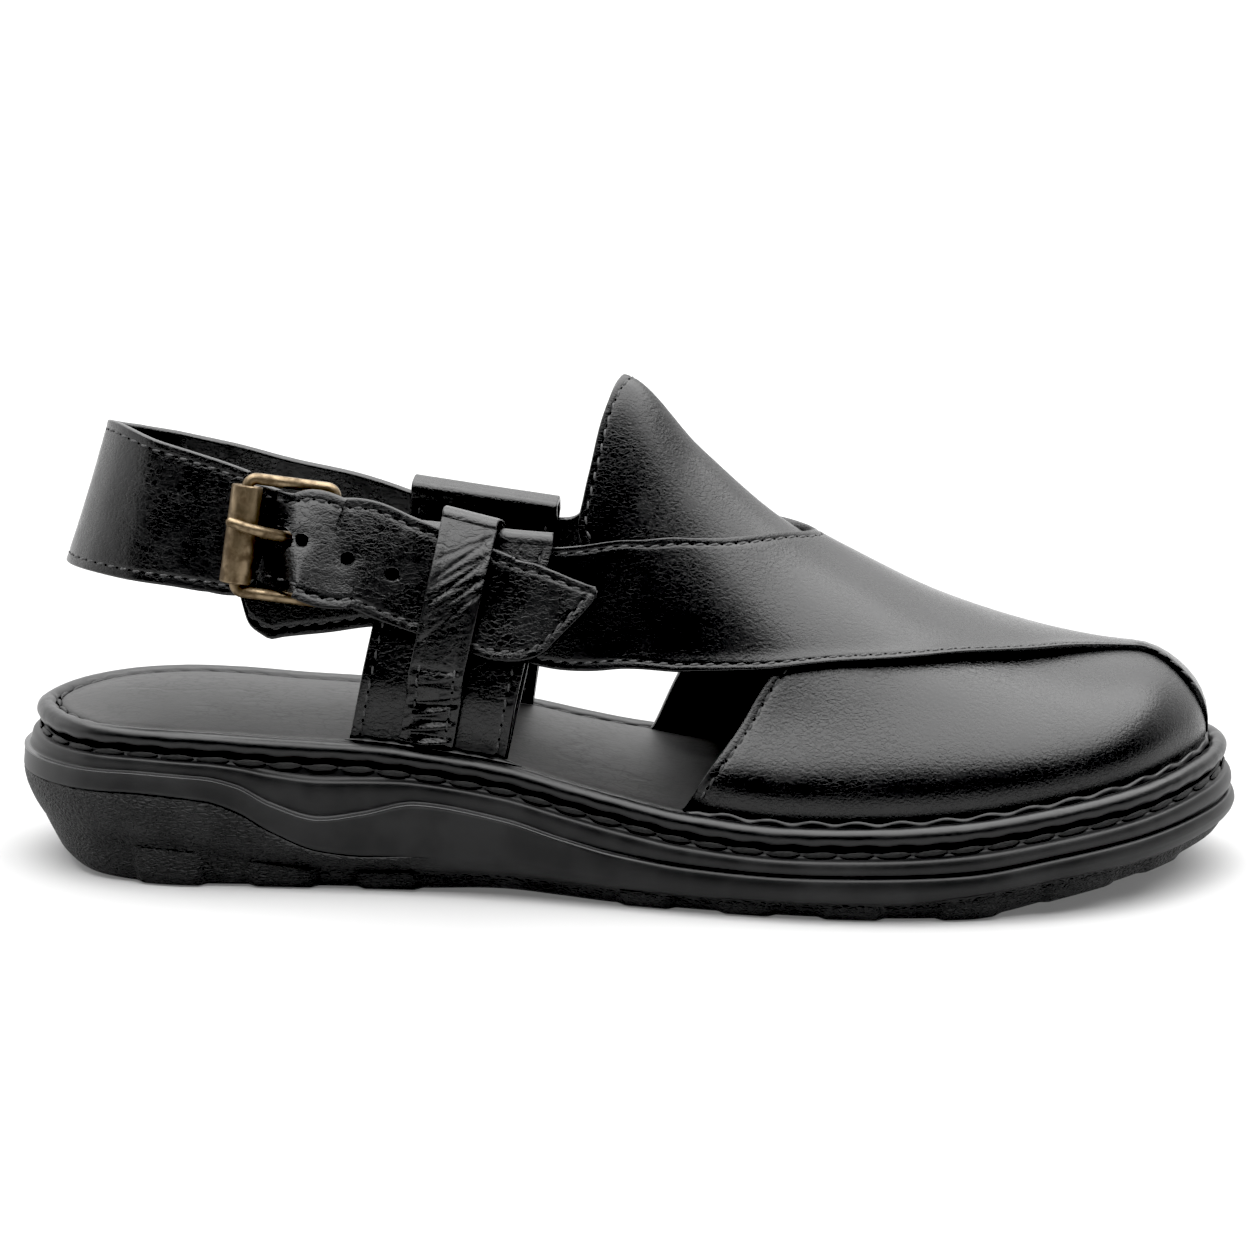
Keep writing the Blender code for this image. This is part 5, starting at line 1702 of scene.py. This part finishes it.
@dataclass
class Fastening:
    """Loops that hold the panels' wings, and the keeper that holds the strap's tail."""

    last: Last
    finishes: Finishes
    stitch: Stitch = EDGE_STITCH
    blend: float = 18.0
    tab_wall: float = 1.8
    tab_foot: float = FEATHER_RISE + 0.2
    tab_form: float = -0.2
    crumple_height: float = 0.12
    crumple_wave: float = 3.1
    crumple_slant: float = 5.0
    keeper_wall: float = 1.4
    keeper_foot: float = FEATHER_RISE + 1.2
    keeper_seat: float = 0.9 + GAP + 0.7
    keeper_lift: float = 9.4
    keeper_inside: float = -3.0
    keeper_end: float = 72.0
    keeper_sewn: tuple[int, int] = (2, 44)
    flange_stations: int = 160
    flange_sides: int = 14
    flange_line: float = -5.0
    flange_fade: float = 5.0
    flange_end: float = 0.15

    # Steps of the height: the loops' crumpled foot, and the keeper's way out over the strap's tail.
    CRUMPLED = Ramp(52, -14)
    KEEPER_OUT = Ramp(46.5, 7.0)
    # Step of the share across from the keeper's edges, where its wrinkles start.
    FROM_EDGE = Ramp(0, 0.12)
    # Heights above and below which the keeper's gloss leans, and how much.
    KEEPER_FORM = ((62.5, -0.011), (48.0, -0.18))
    # Crumpled edge of the lateral loop's foot: s from and to, distance out, height over the seat, both radii.
    FLANGE_ENDS = (79.5, 121.5)
    FLANGE = (-4.9, 5.4, 1.3, 0.8)
    # Waves of its girth: height, length of a radian, start.
    FLANGE_WAVES = ((0.22, 1.9, 0.0), (0.2, 0.83, 1.0))
    # Loops: side, foot from and to, lean, fold from and to, lift of the outer leaf at foot and top and of the
    # inner leaf at both, squareness of the fold.
    TABS = {
        "tab_lateral": (Side.LATERAL, (80.4, 118.3), 11.0, (85.1, 82.5), (1.0, 4.1), (-1.1, -1.1), 0.75),
        "tab_medial": (Side.MEDIAL, (84.0, 120.0), 7.0, (86.8, 82.0), (1.0, 2.8), (-1.1, -3.0), 0.42),
    }
    # Wrinkles of the keeper: height at its middle, slope across, depth and half width in height.
    WRINKLES = (
        (36.2, 2.0, 0.7, 0.75), (38.4, -2.5, -0.5, 0.8), (40.2, 2.0, 0.75, 0.7), (42.3, -1.5, -0.55, 0.8),
        (44.0, 3.0, 0.7, 0.7), (46.0, -1.0, -0.5, 0.8), (48.0, 2.0, 0.65, 0.7), (50.2, -2.0, -0.5, 0.8),
        (52.3, 2.5, 0.55, 0.7), (54.3, -1.5, -0.35, 0.8), (63.5, 7.0, -0.16, 0.7), (66.0, 13.0, -0.26, 0.7),
        (68.0, 8.0, -0.2, 0.5), (70.0, 11.0, -0.28, 0.6), (72.6, 5.0, -0.2, 0.5), (74.0, 12.0, -0.3, 0.6),
        (76.5, 8.0, -0.22, 0.6), (79.0, 11.0, -0.24, 0.6), (81.5, 6.0, -0.18, 0.5),
    )

    def leaf(self, foot_lift: float, top_lift: float) -> Callable[[Array, Array], Array]:
        """Lift of a leaf: from its foot's to its top's, within the blend above the feather edge."""
        def lift(z: Array, foot: Array) -> Array:
            """Lift at a height over a place of the foot."""
            feather = self.last.plan.level("seat", foot) + FEATHER_RISE
            return foot_lift + (top_lift - foot_lift) * ease((z - feather) / self.blend)
        return lift

    def tab(self, name: str) -> None:
        """One loop with stitches up both edges of its outer and inner leaf."""
        side, foot, forward, fold, outside, inside, power = self.TABS[name]
        strip = FoldedStrip(
            self.last, side, foot, forward, fold, self.tab_foot, self.tab_wall, (outside[1] - inside[1]) / 2,
            self.leaf(*outside), self.leaf(*inside), fold_power=power,
        )
        strip.build(self.crumple)
        skin = Skin.sheet(strip.outer, strip.inner, form=self.tab_form * strip.z)
        skin.piece(name + "_loop", self.finishes.tab, "upper_leather", name)
        leaf = strip.leaf_rows
        seams = Seams(self.finishes)
        for at_end in (False, True):
            seams.sew(self.stitch, *strip.seam(at_end, slice(2, leaf - 2)))
            seams.sew(self.stitch, *strip.seam(at_end, slice(2 - leaf, -2)))
        seams.build(name, "upper_leather")

    def crumple(self, w: Array, z: Array, out: Array) -> Array:
        """Low slanting waves near the foot of a loop's outer leaf."""
        wave = np.sin(z / self.crumple_wave + self.crumple_slant * w)
        return self.crumple_height * out * wave * self.CRUMPLED(z)

    def keeper_rise(self, z: Array, foot: Array) -> Array:
        """Lift of the keeper: on the lateral loop below, then out over the strap's tail."""
        outside = self.TABS["tab_lateral"][4]
        seated = self.leaf(*outside)(z, foot) + self.keeper_seat
        step = self.KEEPER_OUT(z)
        return seated * (1 - step) + self.keeper_lift * step

    def wrinkles(self, w: Array, z: Array, out: Array) -> Array:
        """Sum of soft troughs and ridges that slant across the keeper."""
        total = np.zeros_like(z)
        for height, slope, depth, half in self.WRINKLES:
            total += depth * bell(z - height - slope * (w - 0.5), half)
        return total * out * self.FROM_EDGE(w) * self.FROM_EDGE(1 - w)

    def keeper(self) -> None:
        """Keeper strip, crumpled below the strap's tail, stitched to the tab there."""
        strip = FoldedStrip(
            self.last, Side.LATERAL, foot=(92.6, 106.0), forward=11.2, fold=(88.4, 85.6),
            foot_rise=self.keeper_foot, wall=self.keeper_wall, fold_rise=2.4, lift_out=self.keeper_rise,
            lift_in=self.leaf(self.keeper_inside, self.keeper_inside), inside_end=self.keeper_end, across=14,
            leaf_rows=110,
        )
        strip.build(self.wrinkles)
        (high, bent), (low, leaned) = self.KEEPER_FORM
        form = bent * np.clip(strip.z - high, 0, None) ** 2 + leaned * np.clip(strip.z - low, None, 0)
        skin = Skin.sheet(strip.outer, strip.inner, form=form)
        skin.piece("keeper_band", self.finishes.tab, "upper_leather", "keeper_loop")
        seams = Seams(self.finishes)
        for at_end in (False, True):
            seams.sew(self.stitch, *strip.seam(at_end, slice(*self.keeper_sewn)))
        seams.build("keeper", "upper_leather")

    def flange(self) -> None:
        """Crumpled edge of the lateral loop's foot: a cord whose girth is a sum of two waves."""
        plan = self.last.plan
        share = np.linspace(*plan.share_at(self.FLANGE_ENDS, Side.LATERAL), self.flange_stations)
        run = run_length(plan.ring(share, self.flange_line, "seat", 0.0), 0)
        girth = 1.0 + waves(run, self.FLANGE_WAVES)
        girth = girth * (self.flange_end + (1 - self.flange_end) * faded(run, self.flange_fade))
        out, rise, wide, high = self.FLANGE
        rings = []
        for turn in circle(self.flange_sides):
            aside = out + wide * girth * math.cos(turn)
            rings.append(plan.ring(share, aside, "seat", rise + high * girth * math.sin(turn)))
        skin = Skin.tube(np.stack(rings, axis=1), closed=False)
        skin.piece("tab_flange", self.finishes.rand, "upper_leather")

    def build(self) -> None:
        """Make both loops, the flange and the keeper."""
        for name in self.TABS:
            self.tab(name)
        self.flange()
        self.keeper()


@dataclass
class Buckle:
    """Antique brass roller buckle: bent wire frame, rolled sleeve on its rear bar, prong across it."""

    finishes: Finishes
    wire_radius: float = 1.4
    frame_half: float = 13.5
    corner: float = 2.2
    corner_steps: int = 12
    sides: int = 20
    roller_radius: float = 3.7
    roller_bore: float = 1.75
    roller_length: float = 23.4
    roller_sides: int = 40
    roller_wall: float = 1.2
    lip_round: float = 0.5
    lip_steps: int = 6
    prong_radius: float = 1.4
    prong_stations: int = 60
    prong_taper: float = 0.15

    # Places along the roller from its end at which its bore starts and its face lies.
    BORE_IN = 0.6
    FACE_IN = 0.1
    # Steps along the prong: its taper, and the rounding of its tip.
    TAPER = Ramp(0.6, 0.3)
    TIP = (0.96, 0.04, 0.97)

    def axes(self) -> tuple[Array, Array, Array, float]:
        """Directions from roller to heel bar, along the bars, out of the frame, and the frame's length."""
        along = np.array(HEEL_BAR_AT) - np.array(ROLLER_AT)
        length = float(np.linalg.norm(along))
        along /= length
        up = unit(np.array(BAR_LEAN) - np.dot(BAR_LEAN, along) * along)
        return along, up, np.cross(along, up), length

    def swept(self, path: Array, radius: Number, reference: Array, closed: bool) -> Skin:
        """Round bar along a path: circles across the path's direction."""
        if closed:
            forward = unit(np.roll(path, -1, axis=0) - np.roll(path, 1, axis=0))
        else:
            forward = unit(np.gradient(path, axis=0))
        aside = unit(np.cross(reference, forward))
        up = np.cross(forward, aside)
        angle = circle(self.sides)[None, :, None]
        radius = np.broadcast_to(radius, len(path))[:, None, None]
        rings = path[:, None] + radius * (np.cos(angle) * aside[:, None] + np.sin(angle) * up[:, None])
        return Skin.tube(rings, closed)

    def frame(self) -> None:
        """Rounded rectangle of wire."""
        along, up, out, length = self.axes()
        turn = np.linspace(0, np.pi / 2, self.corner_steps)
        path = []
        for k, (reach, end) in enumerate(((length, -1), (length, 1), (0.0, 1), (0.0, -1))):
            way = 1 if reach else -1
            angle = turn + np.pi / 2 * (k - 1)
            a = reach - way * self.corner + self.corner * np.cos(angle)
            b = end * (self.frame_half - self.corner) + self.corner * np.sin(angle)
            path.append(np.array(ROLLER_AT) + a[:, None] * along + b[:, None] * up)
        skin = self.swept(np.vstack(path), self.wire_radius, out, True)
        skin.piece("brass_frame", self.finishes.brass, "buckle_brass", "buckle_frame")

    def roller(self) -> None:
        """Turned sleeve with rounded lips and a plain bore."""
        along, up, out, _ = self.axes()
        half = self.roller_length / 2
        lip = np.linspace(0, np.pi / 2, self.lip_steps)
        top_r = self.roller_radius - self.lip_round + self.lip_round * np.sin(lip)
        top_z = half - self.lip_round + self.lip_round * np.cos(lip)
        radius = np.concatenate([[self.roller_bore, self.roller_radius - self.roller_wall], top_r])
        height = np.concatenate([[half - self.BORE_IN, half - self.FACE_IN], top_z])
        radius = np.concatenate([radius, radius[::-1]])
        height = np.concatenate([height, -height[::-1]])
        angle = circle(self.roller_sides)[:, None, None]
        round_about = np.cos(angle) * along + np.sin(angle) * out
        rings = np.array(ROLLER_AT) + radius[None, :, None] * round_about + height[None, :, None] * up
        skin = Skin.tube(rings, closed=True)
        skin.piece("brass_roller", self.finishes.brass, "buckle_brass", "buckle_roller")

    def prong(self) -> None:
        """Bent pin that tapers to a rounded tip."""
        share = np.linspace(0, 1, self.prong_stations)
        start, length, most = self.TIP
        radius = self.prong_radius * (1 - self.prong_taper * self.TAPER(share))
        radius = radius * np.sqrt(1 - np.clip((share - start) / length, 0, most) ** 2)
        _, up, _, _ = self.axes()
        skin = self.swept(Path(PRONG).at(share), radius, up, False)
        skin.piece("brass_prong", self.finishes.brass, "buckle_brass", "buckle_prong")

    def build(self) -> None:
        """Make frame, roller and prong."""
        self.frame()
        self.roller()
        self.prong()


@dataclass
class Studio:
    """Camera at the photo's angle, pale floor and soft light."""

    azimuth_deg: float = 4.0
    elevation_deg: float = 14.0
    distance: float = 1.1
    target: tuple[float, float, float] = (-0.0005, 0.0, 0.058)
    pixels_a_mm: float = 4.12
    picture: int = 1254
    sensor_mm: float = 36.0
    floor_size: float = 14.0
    floor_grey: float = 0.4
    black_level: float = 0.015
    clip: tuple[float, float] = (0.05, 60.0)

    # Glow of the floor: weight of the distance aside, distances it grows between, greys near and far.
    GLOW_ASIDE = 0.55
    GLOW_BAND = (0.15, 1.1)
    GLOW = ((0.14, 0.14, 0.14), (0.9, 0.9, 0.9))
    # World light: the way it is brightest, the shares of that way it grows between, its strengths there.
    SKY_WAY = (0.0, 0.9, 0.35)
    SKY_BAND = (-0.05, 0.75)
    SKY = (0.01, 1.5)
    # Soft lights: name, place, aim, size, power.
    LIGHTS = (
        ("top_light", (0.2, -0.14, 1.25), (0.2, -0.14, 0.0), (2.4, 1.72), 65.0),
        ("back_light", (0.2, 1.3, 1.25), (0.2, 1.0, 0.0), (2.4, 1.1), 11.0),
        ("side_light", (-1.6, 0.0, 0.5), (0.0, 0.0, 0.1), (1.5, 0.9), 5.0),
    )

    def aimed(self, name: str, data: Any, at: Vector, way: Vector) -> bpy.types.Object:
        """Camera or light at a place, looking along a way."""
        made = linked(name, data)
        made.location = at
        made.rotation_mode = "QUATERNION"
        made.rotation_quaternion = way.to_track_quat("-Z", "Y")
        return made

    def camera(self) -> None:
        """Pinhole camera: its lens makes the picture as wide as its pixels at the target."""
        data = bpy.data.cameras.new("camera")
        data.sensor_width = self.sensor_mm
        data.lens = self.sensor_mm * self.distance / (self.picture / self.pixels_a_mm * MM)
        data.clip_start, data.clip_end = self.clip
        a, e = math.radians(self.azimuth_deg), math.radians(self.elevation_deg)
        back = Vector((math.sin(a) * math.cos(e), -math.cos(a) * math.cos(e), math.sin(e)))
        at = Vector(self.target) + back * self.distance
        bpy.context.scene.camera = self.aimed("camera", data, at, -back)

    def floor(self) -> None:
        """Matt white floor that glows softly away from the shoe, as a lit backdrop does."""
        half = self.floor_size / 2
        mesh = bpy.data.meshes.new("floor")
        corners = [(-half, -half, 0), (half, -half, 0), (half, half, 0), (-half, half, 0)]
        mesh.from_pydata(corners, [], [(0, 1, 2, 3)])
        shader = Shader("floor_white")
        at = shader.node("ShaderNodeTexCoord", output="Object")
        aside = shader.node("ShaderNodeSeparateXYZ", None, {0: at}, "X")
        behind = shader.node("ShaderNodeSeparateXYZ", None, {0: at}, "Y")
        glow = (abs(aside) * self.GLOW_ASIDE + behind).band(*self.GLOW_BAND)
        shader.set(Base_Color=(self.floor_grey,) * 3 + (1.0,), Roughness=0.9, Specular_IOR_Level=0.1,
                   Emission_Strength=1.0, Emission_Color=shader.mix(glow, *self.GLOW))
        mesh.materials.append(shader.material)
        linked("floor", mesh)

    def area(self, name: str, at: Sequence[float], aim: Sequence[float], size: tuple[float, float],
             power: float) -> None:
        """Soft rectangular light aimed at a point."""
        data = bpy.data.lights.new(name, "AREA")
        data.shape = "RECTANGLE"
        data.size, data.size_y = size
        data.energy = power
        self.aimed(name, data, Vector(at), Vector(aim) - Vector(at))

    def sky(self) -> None:
        """World light that is bright behind the shoe, less above it and dark on the camera's side."""
        world = bpy.data.worlds.new("studio")
        bpy.context.scene.world = world
        world.use_nodes = True
        nodes = Nodes(world.node_tree)
        way = nodes.node("ShaderNodeTexCoord", output="Generated")
        inputs = {0: way, 1: self.SKY_WAY}
        lean = nodes.node("ShaderNodeVectorMath", {"operation": "DOT_PRODUCT"}, inputs, "Value")
        background = nodes.tree.nodes["Background"]
        nodes.fill(background.inputs["Color"], (1.0, 1.0, 1.0, 1.0))
        nodes.fill(background.inputs["Strength"], lean.between(*self.SKY_BAND, *self.SKY))

    def build(self) -> None:
        """Set up camera, floor and lights."""
        self.camera()
        self.floor()
        self.sky()
        for light in self.LIGHTS:
            self.area(*light)
        view = bpy.context.scene.view_settings
        view.view_transform = "Standard"
        view.use_curve_mapping = True
        view.curve_mapping.black_level = (self.black_level,) * 3


def main() -> None:
    """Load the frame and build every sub-assembly."""
    logging.basicConfig(level=logging.INFO, format="%(name)s: %(message)s")
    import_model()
    Studio().build()
    finishes = Finishes.make()
    plan = SolePlan()
    last = Last(plan)
    Foundation(plan, finishes).build()
    Upper(last, finishes).build()
    HeelStrap(last, finishes).build()
    Fastening(last, finishes).build()
    Buckle(finishes).build()


if __name__ == "__main__":
    main()
